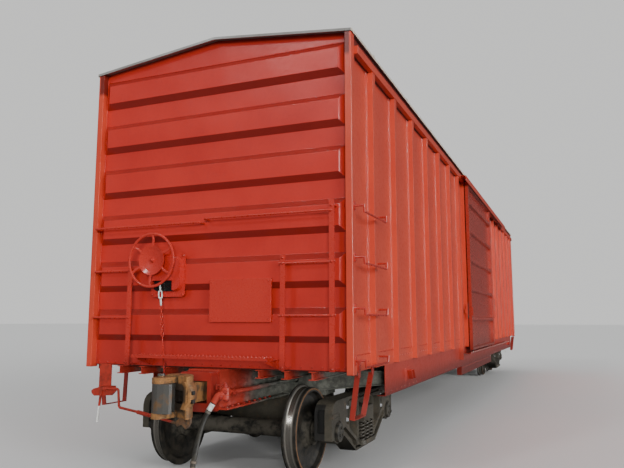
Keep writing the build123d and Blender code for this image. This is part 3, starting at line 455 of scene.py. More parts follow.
def bead(mesh_builder, start, end, radius, rng, step):
    start, end = Vector(start), Vector(end)
    run = end - start
    made = rod(mesh_builder, (start + end) / 2, radius, run.length, 6, pointed(run, "Y"))
    long_edges = [edge for edge in edges_of(made) if edge.calc_length() > run.length * 0.9]
    cut = bmesh.ops.subdivide_edges(
        mesh_builder, edges=long_edges, cuts=max(2, int(run.length / step)), use_grid_fill=False)
    for vert in [item for item in cut["geom_inner"] if isinstance(item, bmesh.types.BMVert)]:
        along = (vert.co - start).dot(run) / run.length_squared
        centre = start + run * along
        vert.co = centre + (vert.co - centre) * rng.uniform(0.62, 1.25)


def everything(mesh_builder):
    return mesh_builder.verts[:] + mesh_builder.edges[:] + mesh_builder.faces[:]


def add_half_turn(mesh_builder):
    # The car is the same after a half turn, so what is made for one side or end is repeated.
    bmesh.ops.spin(
        mesh_builder, geom=everything(mesh_builder), cent=(0, 0, 0), axis=(0, 0, 1), angle=math.pi,
        steps=1, use_duplicate=True)


def button_head(radius, height):
    head = bmesh.new()
    bmesh.ops.create_uvsphere(head, u_segments=8, v_segments=6, radius=radius)
    bmesh.ops.bisect_plane(
        head, geom=everything(head), plane_co=(0, 0, 0), plane_no=(0, 0, -1), clear_outer=True)
    bmesh.ops.holes_fill(head, edges=[edge for edge in head.edges if edge.is_boundary], sides=0)
    bmesh.ops.scale(head, verts=head.verts, vec=(1, 1, height / radius))
    bmesh.ops.recalc_face_normals(head, faces=head.faces)
    return finished_mesh(head, "button_head")


def hex_head(across, height):
    # A bolt's six-sided head on a thin round washer.
    head = bmesh.new()
    rod(head, (0, 0, height / 2 + 0.0015), across / 2, height, 6)
    rod(head, (0, 0, 0.0012), across * 0.62, 0.003, 12)
    return finished_mesh(head, "hex_head")


def heads_at(mesh_builder, head, places, direction):
    turned = head.copy()
    turned.transform(pointed(direction))
    at = Vector((0, 0, 0))
    for position in places:
        turned.transform(Matrix.Translation(Vector(position) - at))
        at = Vector(position)
        mesh_builder.from_mesh(turned)
    bpy.data.meshes.remove(turned)


def half_turned(places):
    return [(-x, -y, z) for x, y, z in places]


def head_rows(name, material, head, places, direction):
    # One piece with all the heads, and the same again a half turn round.
    rows = bmesh.new()
    heads_at(rows, head, places, direction)
    heads_at(rows, head, half_turned(places), half_turned([direction])[0])
    place_piece(rows, name, material)


def evenly(first, last, pitch):
    count = max(1, round(abs(last - first) / pitch))
    return [first + (last - first) * k / count for k in range(count + 1)]


rivet = button_head(0.0095, 0.006)
small_bolt = hex_head(0.022, 0.010)
bolt = hex_head(0.032, 0.014)

weld_rng = random.Random(31)
wall_welds = bmesh.new()
lap_places = []
for sign in (1, -1):
    bead(
        wall_welds, (sign * 1.600, LAP_FACE, LAP_WELD_Z), (sign * 7.62, LAP_FACE, LAP_WELD_Z), WALL_BEAD,
        weld_rng, WELD_STEP)
    for k in range(POST_COUNT):
        post_x = FIRST_POST - k * POST_PITCH
        for edge in (-POST_HALF_WIDTH, POST_HALF_WIDTH):
            weld_x, weld_y = sign * post_x + edge, SIDE_FACE + 0.001
            bead(
                wall_welds, (weld_x, weld_y, LAP_WELD_Z + 0.001), (weld_x, weld_y, POST_TOPS_Z), WALL_BEAD,
                weld_rng, WELD_STEP)
        if k < POST_COUNT - 1:
            for x in evenly(post_x - POST_PITCH + 0.13, post_x - 0.13, 0.115):
                lap_places.append((sign * x, LAP_FACE, LAP_RIVET_Z))
    lap_places += [(sign * x, LAP_FACE, LAP_RIVET_Z) for x in evenly(7.30, 7.60, 0.1)]
add_half_turn(wall_welds)
place_piece(wall_welds, "wall_welds", fitting_red)
head_rows("lap_rivets", fitting_red, rivet, lap_places, (0, 1, 0))

# Top chords: the pressed steel rails that cap the posts along each side and carry the roof's edge.
# They are welded to the wall sheets and sprayed with them.
dress("top_chords", wall_red, 0.005)

# Ends: corrugated sheets with six tapered ribs pressed out, riveted along the foot, with a butt weld
# between the two sheets and beads where they meet the corner posts.
END_SHEET_X = 7.725
END_FOOT_Z = 1.098
CORNER_WELD_Y = 1.4145
BUTT_WELD_Z = 4.155
# The ends' colour has painted shade on the flanks of the ribs and towards the foot.
end_red = sprayed_paint(
    "end_red", VERMILION, VERMILION_DEEP, 0.28, 0.8, 0.35, 0.2, 1.5, (1.0, 2.0, 0.25), 0.55)
dress("end_b", end_red, 0.011, 3, 20)
dress("end_a", end_red, 0.011, 3, 20)
foot_places = [(END_SHEET_X, y, END_FOOT_Z) for y in evenly(-1.37, 1.37, 0.105)]
head_rows("end_rivets", fitting_red, rivet, foot_places, (1, 0, 0))

end_welds = bmesh.new()
for y in (-CORNER_WELD_Y, CORNER_WELD_Y):
    bead(end_welds, (END_SHEET_X, y, 1.08), (END_SHEET_X, y, 4.20), 0.0065, weld_rng, 0.012)
butt_x = END_SHEET_X + 0.001
bead(end_welds, (butt_x, -1.40, BUTT_WELD_Z), (butt_x, 1.40, BUTT_WELD_Z), 0.004, weld_rng, WELD_STEP)
add_half_turn(end_welds)
place_piece(end_welds, "end_welds", fitting_red)

# Corner posts: four steel box columns that tie sides, ends and roof together. The sheets are welded
# to them on both faces.
dress("corner_posts", wall_red, 0.006)

# Roof: bare zinc-coated sheets, dulled and streaked, lapped at raised seam caps that are riveted
# down, and turned down all round with a row of rivets along the eaves.
SEAM_COUNT = 11
SEAM_PITCH = 1.418
ROOF_FALL = 0.174 / 1.492
EAVES_Y = 1.492


def stretched(place, scale):
    return feed_all(node_after("Mapping", place), Scale=scale).outputs[0]


zinc, tree, shader = new_material("zinc")
place = object_place(tree)
spangle = feed_all(node_after("TexVoronoi", place), Scale=42.0).outputs["Distance"]
streaks = remap(noise_at(stretched(place, (9.0, 0.8, 3.0)), 1.0, 5.0, 0.6), 0.35, 0.7)
zinc_color = mix_colors(times(spangle, 0.6), (0.50, 0.51, 0.50, 1), (0.36, 0.37, 0.37, 1))
zinc_color = mix_colors(times(streaks, 0.55), zinc_color, (0.27, 0.24, 0.21, 1))
# Painted highlight: the turned-down rim along the eaves is coloured pale cream and made less metallic, as a
# lit edge.
rim_highlight = remap(absolute(axes(place)["Y"]), 1.482, 1.487)
feed_all(
    shader, Base_Color=mix_colors(rim_highlight, zinc_color, (0.62, 0.56, 0.46, 1)),
    Roughness=remap(streaks, 0.0, 1.0, 0.38, 0.62), Metallic=remap(rim_highlight, 0.0, 1.0, 0.45, 0.05),
    Normal=bump(noise_at(place, 2.4, 2.0), 0.012, 0.6))
dress("roof", zinc)

roof_slope = math.atan(ROOF_FALL)
roof_bolts = bmesh.new()
for side in (1, -1):
    seam_places = [
        ((k - SEAM_COUNT // 2) * SEAM_PITCH + offset, side * y, 4.418 - y * ROOF_FALL)
        for k in range(SEAM_COUNT) for offset in (-0.045, 0.045) for y in evenly(0.10, 1.42, 0.22)]
    heads_at(roof_bolts, rivet, seam_places, (0, side * math.sin(roof_slope), math.cos(roof_slope)))
    eaves_places = [(x, side * EAVES_Y, 4.231) for x in evenly(-7.74, 7.74, 0.19)]
    heads_at(roof_bolts, rivet, eaves_places, (0, side, 0))
place_piece(roof_bolts, "roof_rivets", zinc)

# Floor: hardwood planks laid across the car and bolted to the stringers, scuffed pale along the
# middle where trucks drive in. Their cut ends were caught by the red spray.
PLANK_WIDTH = 0.142


def minus(first, second):
    return math_node("SUBTRACT", first, second)


planks, tree, shader = new_material("planks")
place = object_place(tree)
place_xyz = axes(place)
plank_number = math_node("DIVIDE", place_xyz["X"], PLANK_WIDTH)
plank_shade = node_after("TexWhiteNoise", None, math_node("FLOOR", plank_number), noise_dimensions="1D")
seam = remap(absolute(minus(math_node("FRACT", plank_number), 0.5)), 0.47, 0.497)
grain = noise_at(stretched(place, (60.0, 2.2, 60.0)), 1.0, 6.0, 0.65)
wood_color = mix_colors(remap(grain, 0.3, 0.7), (0.40, 0.27, 0.16, 1), (0.25, 0.155, 0.085, 1))
wood_color = mix_colors(times(plank_shade.outputs["Value"], 0.45), wood_color, (0.46, 0.36, 0.26, 1))
wood_color = mix_colors(seam, wood_color, (0.035, 0.026, 0.018, 1))
rim_x = remap(absolute(place_xyz["X"]), 7.700, 7.712)
rim_y = remap(absolute(place_xyz["Y"]), 1.392, 1.400)
wood_color = mix_colors(math_node("MAXIMUM", rim_x, rim_y), wood_color, (0.07, 0.016, 0.012, 1))
feed_all(
    shader, Base_Color=wood_color, Roughness=0.68, Normal=bump(minus(times(grain, 0.25), seam), 0.003))
dress("floor_deck", planks)

# Underframe: centre sill, bolsters, crossbearers and stringers in dark paint under old road dust. The
# fresh red of the body reaches the sill pocket and the ends of the stringers and fades out inwards.
UNDER_DARK = (0.095, 0.100, 0.088, 1)
ROAD_DUST = (0.255, 0.260, 0.220, 1)
TRUCK_X = 6.275


def underframe_paint(name, red_from, red_to):
    material, tree, shader = new_material(name)
    place = object_place(tree)
    ragged = plus(absolute(axes(place)["X"]), times(noise_at(place, 4.0, 4.0, 0.6), 0.5))
    red_share = remap(ragged, red_from + 0.25, red_to + 0.25)
    clods = remap(noise_at(place, 14.0, 7.0, 0.68), 0.36, 0.66)
    color, _ = add_grime(
        tree, mix_colors(clods, UNDER_DARK, ROAD_DUST), (0.20, 0.185, 0.15, 1), 0.7, 0.3, 1.4)
    feed_all(
        shader, Base_Color=mix_colors(red_share, color, (0.40, 0.040, 0.024, 1)),
        Roughness=minus(remap(clods, 0.0, 1.0, 0.55, 0.92), times(red_share, 0.25)),
        Normal=bump(noise_at(place, 38.0, 6.0, 0.65), 0.006, 0.7))
    return material


dress("center_sill", underframe_paint("sill_paint", 7.1, 7.5))
dress("floor_stringers", underframe_paint("stringer_paint", 7.35, 7.6))
dusty_frame = underframe_paint("dusty_frame", 20.0, 21.0)
for name in ("body_bolsters", "crossbearers"):
    dress(name, dusty_frame, 0.004)

frame_rivets = bmesh.new()
for x in (TRUCK_X, -TRUCK_X):
    for side in (1, -1):
        top_places = [
            (x + dx, side * y, 0.988)
            for dx in (-0.165, 0.165) for y in (0.28, 0.42, 0.62, 0.74, 0.9, 1.0, 1.2, 1.32)]
        heads_at(frame_rivets, rivet, top_places, (0, 0, 1))
        for face in (1, -1):
            web_places = [
                (x + face * 0.12, side * y, z) for y in (1.36, 1.40) for z in (0.885, 0.93, 0.97)]
            heads_at(frame_rivets, rivet, web_places, (face, 0, 0))
place_piece(frame_rivets, "bolster_rivets", dusty_frame)

# Strikers: steel castings over the sill ends, a rounded pocket that the coupler shank comes out of,
# bolted down along the foot on both sides.
dress("strikers", fitting_red, 0.009, 3)
striker_places = [(x, y, 0.716) for y in (-0.225, 0.225) for x in evenly(6.90, 7.82, 0.115)]
head_rows("striker_rivets", fitting_red, bolt, striker_places, (0, 0, 1))

# Side sills: deep steel plates below the walls, deeper still under the doorway, with rope lugs near
# the trucks. A row of rivets runs along the lower edge.
SILL_FACE = 1.444
# The sill's colour darkens towards its lower edge as painted shade.
sill_red = sprayed_paint(
    "sill_red", (0.46, 0.038, 0.022, 1), (0.34, 0.026, 0.016, 1), 0.32, 1.0, 0.30, 0.12, 1.4,
    (0.72, 0.98, 0.8))
dress("side_sills", sill_red, 0.003)
sill_places = [(x, SILL_FACE, 0.785) for x in evenly(2.06, 6.62, 0.19) + evenly(-6.62, -2.06, 0.19)]
sill_places += [(x, SILL_FACE, 0.727) for x in evenly(-1.93, 1.93, 0.128)]
head_rows("sill_rivets", fitting_red, rivet, sill_places, (0, 1, 0))

# Door frames and tracks: jambs and header round each doorway, a hood over the door's top edge, and
# the rail along the sill, worn bright where the door's wheels run.
dress("door_frames", wall_red)
dress("door_tracks", wall_red, 0.002, 1)
worn_steel, tree, shader = new_material("worn_steel")
worn_mask = remap(noise_at(object_place(tree), 55.0, 5.0, 0.65), 0.38, 0.66)
feed_all(
    shader, Base_Color=mix_colors(worn_mask, (0.58, 0.56, 0.53, 1), (0.30, 0.10, 0.07, 1)),
    Roughness=remap(worn_mask, 0.0, 1.0, 0.28, 0.6), Metallic=remap(worn_mask, 0.0, 1.0, 0.9, 0.0))
track_places = [(x, 1.598, 0.979) for x in evenly(-4.66, 1.88, 0.205)]
head_rows("track_bolts", worn_steel, rivet, track_places, (0, 1, 0))
hood_places = [(x, 1.614, 4.055) for x in evenly(-4.66, 1.88, 0.41)]
head_rows("hood_bolts", fitting_red, rivet, hood_places, (0, 1, 0))

# Doors: six pressed panels in one welded leaf, hung on wheels on the lower rail, with a lock plate
# at the closing edge and a pull handle at the other.
DOOR_FACE = 1.582
PANEL_PITCH = 0.534
ALONG_Y = Matrix.Rotation(math.pi / 2, 4, "X")
# The doors' red is set darker than the walls' as painted shade.
shade_darkened_door_red = sprayed_paint(
    "shade_darkened_door_red", (0.38, 0.037, 0.022, 1), (0.28, 0.025, 0.016, 1), 0.26, 1.5, 0.4, 0.28, 1.8)
for side, sign in (("right", 1), ("left", -1)):
    dress(f"door_{side}", shade_darkened_door_red, 0.006)
    leaf_places = [
        (sign * x, sign * DOOR_FACE, min(1.031 + PANEL_PITCH * k, 4.022))
        for k in range(7) for x in evenly(-1.50, 1.50, 0.25)]
    leaf_places += [
        (sign * x, sign * DOOR_FACE, z) for x in (-1.535, 1.535) for z in evenly(1.09, 3.96, 0.18)]
    door_rivets = bmesh.new()
    heads_at(door_rivets, rivet, leaf_places, (0, sign, 0))
    place_piece(door_rivets, f"door_rivets_{side}", shade_darkened_door_red, f"door_{side}")

    wheel_caps = bmesh.new()
    for x in (-1.25, 1.25):
        rod(wheel_caps, (sign * x, sign * 1.5405, 0.9983), 0.031, 0.006, 24, ALONG_Y)
    place_piece(
        wheel_caps, f"door_wheel_caps_{side}", worn_steel, f"door_{side}", smooth=False)

# Door lock: a blackened steel lever on a bracket beside each door, pinned at its lower end, with the
# eye that a seal goes through.
LOCK_X = 1.654


def block(mesh_builder, centre, size, rounding=0.0, segments=2):
    made = bmesh.ops.create_cube(
        mesh_builder, size=1.0, matrix=Matrix.Translation(centre) @ Matrix.Diagonal((*size, 1)))
    if rounding:
        bmesh.ops.bevel(
            mesh_builder, geom=edges_of(made), offset=rounding, segments=segments, profile=0.5,
            affect="EDGES", material=-1)


lock_steel, tree, shader = new_material("lock_steel")
color, _ = add_grime(tree, (0.035, 0.034, 0.034, 1), (0.20, 0.07, 0.05, 1), 0.6, 0.5, 3.0)
feed_all(shader, Base_Color=color, Roughness=0.4)
lock_levers = bmesh.new()
for sign in (1, -1):
    block(lock_levers, (sign * LOCK_X, sign * 1.527, 1.690), (0.030, 0.006, 0.260), 0.0022)
    rod(
        lock_levers, (sign * LOCK_X, sign * 1.530, 1.60), 0.024, 0.016, 20,
        Matrix.Rotation(-sign * math.pi / 2, 4, "X"), 0.019)
place_piece(lock_levers, "lock_levers", lock_steel)

# End ladders, side handholds and sill steps: flat stiles with round rungs, dropped bars bolted through
# the wall, and strap stirrups. All are sprayed with the body.
dress("end_ladders", fitting_red, 0.002)
dress("side_handholds", fitting_red)
dress("sill_steps", fitting_red, 0.003)

handhold_feet = bmesh.new()
for z in (1.175, 1.632, 2.090, 2.560):
    inner_face = LAP_FACE if z < LAP_WELD_Z else SIDE_FACE
    for side in (1, -1):
        for x, y in ((7.745, 1.480), (7.015, inner_face)):
            foot_bolts = [(side * x, side * y, z + dz) for dz in (-0.027, 0.027)]
            heads_at(handhold_feet, small_bolt, foot_bolts, (0, side, 0))
            block(handhold_feet, (side * x, side * (y + 0.002), z), (0.034, 0.006, 0.088), 0.0016)
place_piece(handhold_feet, "handhold_feet", fitting_red)

ladder_places = [(7.858, y, z) for y in (0.815, 1.30) for z in (1.10, 1.57, 2.05)]
ladder_places += [(7.858, -0.912, z) for z in (1.10, 1.557, 2.032)]
ladder_places += [(7.858, 1.30, 2.56), (7.858, 0.815, 2.10)]
head_rows("ladder_bolts", fitting_red, small_bolt, ladder_places, (1, 0, 0))

step_bolts = bmesh.new()
for side in (1, -1):
    step_places = [(x, side * 1.468, z) for x in (7.595, -7.595) for z in (1.095, 1.135)]
    heads_at(step_bolts, small_bolt, step_places, (0, side, 0))
place_piece(step_bolts, "step_bolts", fitting_red)

# Hand brake: a dished wheel with six curved spokes on the gear case, a chain down from its drum whose
# first links were left white, then red links and a rod to the bell crank by the sill.
HUB = (7.8935, -0.615, 2.125)
CHAIN_TOP, CHAIN_FOOT = Vector((7.830, -0.560, 1.900)), Vector((7.830, -0.461, 0.880))
# Length, width and wire thickness of each kind of link, with how many of it follow each other.
CHAIN_LINKS = (
    ("white", 0.090, 0.048, 0.0078, 3), ("red", 0.058, 0.036, 0.0060, 7), ("red", 0.170, 0.034, 0.0055, 1),
)
ALONG_X = Matrix.Rotation(math.pi / 2, 4, "Y")
dress("brake_wheel", fitting_red)


def inside_box(material, low, high, edge=0.003):
    # 1 inside the box (and in its half-turn twin at the other end), 0 outside.
    place_xyz = axes(object_place(material.node_tree))
    end_sign = math_node("SIGN", place_xyz["X"])
    from_middle = (times(place_xyz["X"], end_sign), times(place_xyz["Y"], end_sign), place_xyz["Z"])
    share = 1.0
    for value, low_value, high_value in zip(from_middle, low, high):
        share = times(share, remap(value, low_value - edge, low_value + edge))
        share = times(share, remap(value, high_value + edge, high_value - edge))
    return share


def darken(material, share, color):
    # Lays a plain dark colour over what the base colour already is.
    base_color = material.node_tree.nodes["Principled BSDF"].inputs["Base Color"]
    feed(base_color, mix_colors(share, base_color.links[0].from_socket, color))


case_red = sprayed_paint("case_red", VERMILION, VERMILION_DEEP, 0.27, 0.05, 0.45, 0.25, 1.3)
# Painted shade: the open window of the gear case round the chain drum is coloured near black.
drum_window_shade = inside_box(case_red, (7.80, -0.645, 1.79), (7.842, -0.407, 1.921))
darken(case_red, drum_window_shade, (0.008, 0.008, 0.008, 1))
dress("brake_gear_case", case_red, 0.006, 3)
case_bolts = bmesh.new()
heads_at(case_bolts, bolt, [HUB], (1, 0, 0))
corner_places = [(7.794, y, z) for y in (-0.672, -0.308) for z in (1.781, 2.169)]
heads_at(case_bolts, small_bolt, corner_places, (1, 0, 0))
place_piece(case_bolts, "brake_case_bolts", fitting_red)


def oval_link(length, width, wire):
    # Twelve rings of wire round two half circles, drawn apart by the link's straight sides.
    builder = bmesh.new()
    middle_radius = width / 2 - wire
    straight = (length - width) / 2
    rings = []
    for k in range(12):
        angle = 2 * math.pi * k / 12
        run, rise = math.cos(angle), math.sin(angle)
        bend = 0.0 if abs(rise) < 1e-6 else math.copysign(straight, rise)
        tangent = Vector((-middle_radius * rise, 0, middle_radius * run + (0 if bend else straight)))
        rings.append(edges_of(bmesh.ops.create_circle(
            builder, cap_ends=False, radius=wire, segments=6,
            matrix=Matrix.Translation((middle_radius * run, 0, middle_radius * rise + bend))
            @ pointed(tangent.normalized(), "Y"))))
    for ring, following in zip(rings, rings[1:] + rings[:1]):
        bmesh.ops.bridge_loops(builder, edges=ring + following)
    bmesh.ops.recalc_face_normals(builder, faces=builder.faces)
    return finished_mesh(builder, "chain_link")


chain = {"white": bmesh.new(), "red": bmesh.new()}
chain_rng = random.Random(7)
hang = (CHAIN_FOOT - CHAIN_TOP).normalized()
lean = pointed(-hang, "Y")
drop = 0.0
link_number = 0
for paint, length, width, wire, count in CHAIN_LINKS:
    oval = oval_link(length, width, wire)
    for _ in range(count):
        turn = math.pi / 4 + (math.pi / 2) * (link_number % 2) + chain_rng.uniform(-0.18, 0.18)
        middle = CHAIN_TOP + hang * (drop + length / 2)
        link = oval.copy()
        link.transform(Matrix.Translation(middle) @ lean @ Matrix.Rotation(turn, 4, "Z"))
        chain[paint].from_mesh(link)
        bpy.data.meshes.remove(link)
        drop += length - 2.3 * wire
        link_number += 1
rod_top = CHAIN_TOP + hang * drop
rod(chain["red"], (rod_top + CHAIN_FOOT) / 2, 0.008, (rod_top - CHAIN_FOOT).length, 16, lean)
rod(chain["red"], CHAIN_FOOT, 0.040, 0.024, 32, ALONG_X)
rod(chain["red"], CHAIN_FOOT, 0.014, 0.054, 20, ALONG_X)
block(chain["red"], (7.806, -0.335, 0.880), (0.012, 0.330, 0.060))
chain_piece = place_piece(chain["red"], "brake_chain_red", fitting_red, "car")
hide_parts("brake_chain")
place_piece(chain["white"], "brake_chain_white", band_white, "car")

# Brake step: an open steel grating across the end at knee height, its edge bar toothed for grip, on
# two braces from the end's foot.
STEP_BACK, STEP_FRONT = 7.862, 8.002
STEP_LEFT, STEP_RIGHT = -0.750, 0.730
STEP_LOW, STEP_TOP = 1.165, 1.201
BEARER_LOW = STEP_LOW - 0.006
BRACE_OUTLINE = (
    (END_SHEET_X, BEARER_LOW), (7.985, BEARER_LOW), (7.985, STEP_LOW - 0.020), (7.740, 1.079),
    (END_SHEET_X, 1.079),
)
grating = bmesh.new()


def plate(mesh_builder, low, high, rounding=0.0, segments=2):
    low, high = Vector(low), Vector(high)
    block(mesh_builder, (low + high) / 2, high - low, rounding, segments)


for k in range(7):
    bar_x = STEP_BACK + 0.002 + k * (STEP_FRONT - STEP_BACK - 0.008) / 6
    low_z = STEP_LOW if k in (0, 6) else STEP_LOW + 0.010
    plate(grating, (bar_x, STEP_LEFT, low_z), (bar_x + 0.004, STEP_RIGHT, STEP_TOP - 0.010), 0.0008, 1)
for y in evenly(STEP_LEFT + 0.02, STEP_RIGHT - 0.02, 0.040):
    plate(grating, (STEP_BACK, y - 0.003, STEP_TOP - 0.022), (STEP_FRONT, y + 0.003, STEP_TOP - 0.011))
    for bar_x in (STEP_FRONT - 0.004, STEP_BACK + 0.004):
        rod(grating, (bar_x, y, STEP_TOP - 0.0061), 0.0090, 0.012, 6, end_radius=0.0045)
for y in (STEP_LEFT, STEP_RIGHT - 0.005):
    plate(grating, (STEP_BACK, y, STEP_LOW), (STEP_FRONT, y + 0.005, STEP_TOP - 0.008), 0.0008, 1)
for y in (-0.690, 0.708):
    plate(grating, (END_SHEET_X, y - 0.02, BEARER_LOW), (7.989, y + 0.02, STEP_LOW), 0.001, 1)
    web = grating.faces.new([grating.verts.new((x, y - 0.003, z)) for x, z in BRACE_OUTLINE])
    pushed = bmesh.ops.extrude_face_region(grating, geom=[web])["geom"]
    bmesh.ops.translate(
        grating, verts=[item for item in pushed if isinstance(item, bmesh.types.BMVert)], vec=(0, 0.006, 0))
bmesh.ops.recalc_face_normals(grating, faces=grating.faces)
grating_piece = place_piece(grating, "step_grating", fitting_red, "car", smooth=False)
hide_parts("brake_step")

# Boards: a blank steel board on each end, with rolled edges, held by four rivets in its corners and
# sprayed with the end.
dress("placard_boards", fitting_red, 0.005, 3)
board_places = [(7.804, y, z) for y in (0.030, 0.650) for z in (1.535, 1.893)]
head_rows("board_rivets", fitting_red, rivet, board_places, (1, 0, 0))

# Uncoupling levers: a bent bar in a bracket below each corner, its hanging handle dipped in white, and
# the lock lifter that it turns under the coupler head.
lever_paint, tree, shader = new_material("lever_paint")
place = object_place(tree)
place_xyz = axes(place)
dipped = times(remap(place_xyz["Z"], 0.686, 0.680), remap(absolute(place_xyz["Y"]), 1.04, 1.08))
lifter_share = remap(absolute(place_xyz["X"]), 8.195, 8.206)
worn_share = remap(noise_at(place, 18.0, 5.0, 0.6), 0.4, 0.72)
rust_share = remap(noise_at(place, 45.0, 5.0, 0.65), 0.35, 0.7)
lever_color = mix_colors(worn_share, (0.40, 0.036, 0.022, 1), (0.20, 0.028, 0.018, 1))
lever_color = mix_colors(dipped, lever_color, (0.74, 0.74, 0.70, 1))
lifter_rust = mix_colors(rust_share, (0.085, 0.060, 0.042, 1), (0.21, 0.105, 0.05, 1))
feed_all(
    shader, Base_Color=mix_colors(lifter_share, lever_color, lifter_rust),
    Roughness=remap(lifter_share, 0.0, 1.0, 0.35, 0.8), Normal=bump(noise_at(place, 150.0, 3.0), 0.001))
dress("uncoupling_levers", lever_paint, 0.0025, 2, 50)

# Couplers: rough steel castings gone orange-brown with rust, the knuckle dark and polished by use,
# # and painted shade darkening the throat and the slot of its mouth.
KNUCKLE_PIN = (8.400, -0.096)
GUARD_ARM = (
    (8.236, 0.150), (8.300, 0.212), (8.385, 0.254), (8.430, 0.260), (8.452, 0.248), (8.456, 0.226),
    (8.425, 0.170), (8.392, 0.122), (8.250, 0.110),
)
# Heights of the guard arm's swell, each with how far its outer face is drawn in there.
GUARD_LEVELS = (
    (0.770, 0.048), (0.800, 0.034), (0.838, 0.004), (0.942, 0.002), (0.978, 0.030), (1.005, 0.046),
)

cast_group, cast_in, cast_out = new_group(
    "cast_skin",
    {"Metal": (0.1, 0.09, 0.08, 1), "Rust": (0.3, 0.13, 0.05, 1), "Rusty": 0.5, "Bare Roughness": 0.48},
    ("Color", "Roughness", "Height"))
place = object_place(cast_group)
broad = noise_at(place, 9.0, 6.0, 0.62)
fine = noise_at(place, 75.0, 5.0, 0.68)
rusty_share = times(cast_in["Rusty"], 0.55)
rust_share = remap(
    plus(times(broad, 0.75), times(fine, 0.25)), minus(0.78, rusty_share), minus(0.94, rusty_share))
cast_color = mix_colors(rust_share, cast_in["Metal"], cast_in["Rust"])
cast_color = mix_colors(remap(fine, 0.52, 0.78, 0.0, 0.6), cast_color, (0.045, 0.030, 0.022, 1))
pits = feed_all(node_after("TexVoronoi", place), Scale=210.0).outputs["Distance"]
feed(cast_out["Color"], cast_color)
feed(cast_out["Roughness"], plus(cast_in["Bare Roughness"], times(rust_share, 0.36)))
feed(cast_out["Height"], plus(fine, times(pits, 0.45)))


def cast_steel(name, metal, rust, rusty, dust_amount, relief, bare_roughness=0.48):
    material, tree, shader = new_material(name)
    skin = placed_group(
        tree, cast_group, Metal=metal, Rust=rust, Rusty=rusty, Bare_Roughness=bare_roughness)
    color, dust = add_grime(tree, skin["Color"], (0.155, 0.135, 0.10, 1), dust_amount, 0.0, 1.1)
    feed_all(
        shader, Base_Color=color, Roughness=plus(skin["Roughness"], times(dust, 0.2)),
        Normal=bump(skin["Height"], relief, 0.8), Specular_IOR_Level=0.28)
    return material


coupler_rust = cast_steel(
    "coupler_rust", (0.120, 0.078, 0.045, 1), (0.345, 0.165, 0.060, 1), 0.72, 0.35, 0.004)
knuckle_grey = cast_steel(
    "knuckle_grey", (0.078, 0.076, 0.070, 1), (0.17, 0.095, 0.045, 1), 0.52, 0.3, 0.003, 0.30)
# Painted shade: the throat behind the knuckle, and deeper still the slot of the mouth, are darkened.
throat_shade = inside_box(coupler_rust, (8.20, -0.10, 0.745), (8.420, 0.150, 0.985), 0.012)
darken(coupler_rust, throat_shade, (0.050, 0.036, 0.026, 1))
slot_shade = inside_box(coupler_rust, (8.236, 0.011, 0.813), (8.428, 0.137, 0.923))
darken(coupler_rust, slot_shade, (0.010, 0.010, 0.010, 1))
# Painted shade: near-black plates stand for the holes through the guard arm.
hole_shade_black, tree, shader = new_material("hole_shade_black")
feed_all(shader, Base_Color=(0.014, 0.012, 0.010, 1), Roughness=0.8)

for end, turn in ENDS:
    coupler = f"coupler_{end}"
    dress(coupler, coupler_rust, 0.011, 3, 40)
    dress(f"knuckle_{end}", knuckle_grey, 0.010, 3, 40)
    pin = bmesh.new()
    pin_x, pin_y = turn * KNUCKLE_PIN[0], turn * KNUCKLE_PIN[1]
    rod(pin, (pin_x, pin_y, 0.879), 0.024, 0.330, 28)
    rod(pin, (pin_x, pin_y, 1.055), 0.034, 0.016, 28, end_radius=0.030)
    place_piece(pin, f"knuckle_pin_{end}", knuckle_grey, coupler, smooth=False)

    guard = bmesh.new()
    below = None
    for z, drawn_in in GUARD_LEVELS:
        level = [guard.verts.new((turn * x, turn * (y - drawn_in * (y > 0.13)), z)) for x, y in GUARD_ARM]
        if below:
            for k in range(len(GUARD_ARM)):
                after = (k + 1) % len(GUARD_ARM)
                guard.faces.new((below[k], below[after], level[after], level[k]))
        else:
            guard.faces.new(level)
        below = level
    guard.faces.new(below)
    bmesh.ops.recalc_face_normals(guard, faces=guard.faces)
    guard_piece = place_piece(guard, f"guard_swell_{end}", coupler_rust, coupler)
    round_edges(guard_piece, 0.008, 3, 25)
    # Two near-black plates as painted shade for the guard arm's holes.
    guard_hole_shades = bmesh.new()
    for z in (0.826, 0.896):
        low_x, high_x = sorted((turn * 8.405, turn * 8.447))
        low_y, high_y = sorted((turn * 0.225, turn * 0.2645))
        plate(guard_hole_shades, (low_x, low_y, z), (high_x, high_y, z + 0.034), 0.008, 3)
    place_piece(guard_hole_shades, f"guard_hole_shades_{end}", hole_shade_black, coupler)

# Train line: the air pipe along the car and the angle cocks at its ends, which were sprayed over with
# the red of the body.
dress("train_line", underframe_paint("pipe_paint", 7.0, 7.6))
cock_handles = bmesh.new()
rod(cock_handles, (7.968, 0.300, 0.936), 0.024, 0.036, 16, end_radius=0.020)
heads_at(cock_handles, small_bolt, [(7.968, 0.300, 0.953)], (0, 0, 1))
plate(cock_handles, (7.955, 0.205, 0.930), (7.981, 0.300, 0.942), 0.003)
plate(cock_handles, (7.955, 0.205, 0.896), (7.981, 0.217, 0.942), 0.003)
heads_at(cock_handles, bolt, [(x, 0.352, 0.862) for x in (7.905, 7.870)], (0, 1, 0))
for centre, radius in (
    ((8.006, 0.272, 0.838), 0.034), ((7.950, 0.300, 0.808), 0.026), ((8.000, 0.318, 0.880), 0.020),
):
    bmesh.ops.create_uvsphere(
        cock_handles, u_segments=16, v_segments=10, radius=radius, matrix=Matrix.Translation(centre))
add_half_turn(cock_handles)
place_piece(cock_handles, "cock_handles", fitting_red, "car", smooth=False)

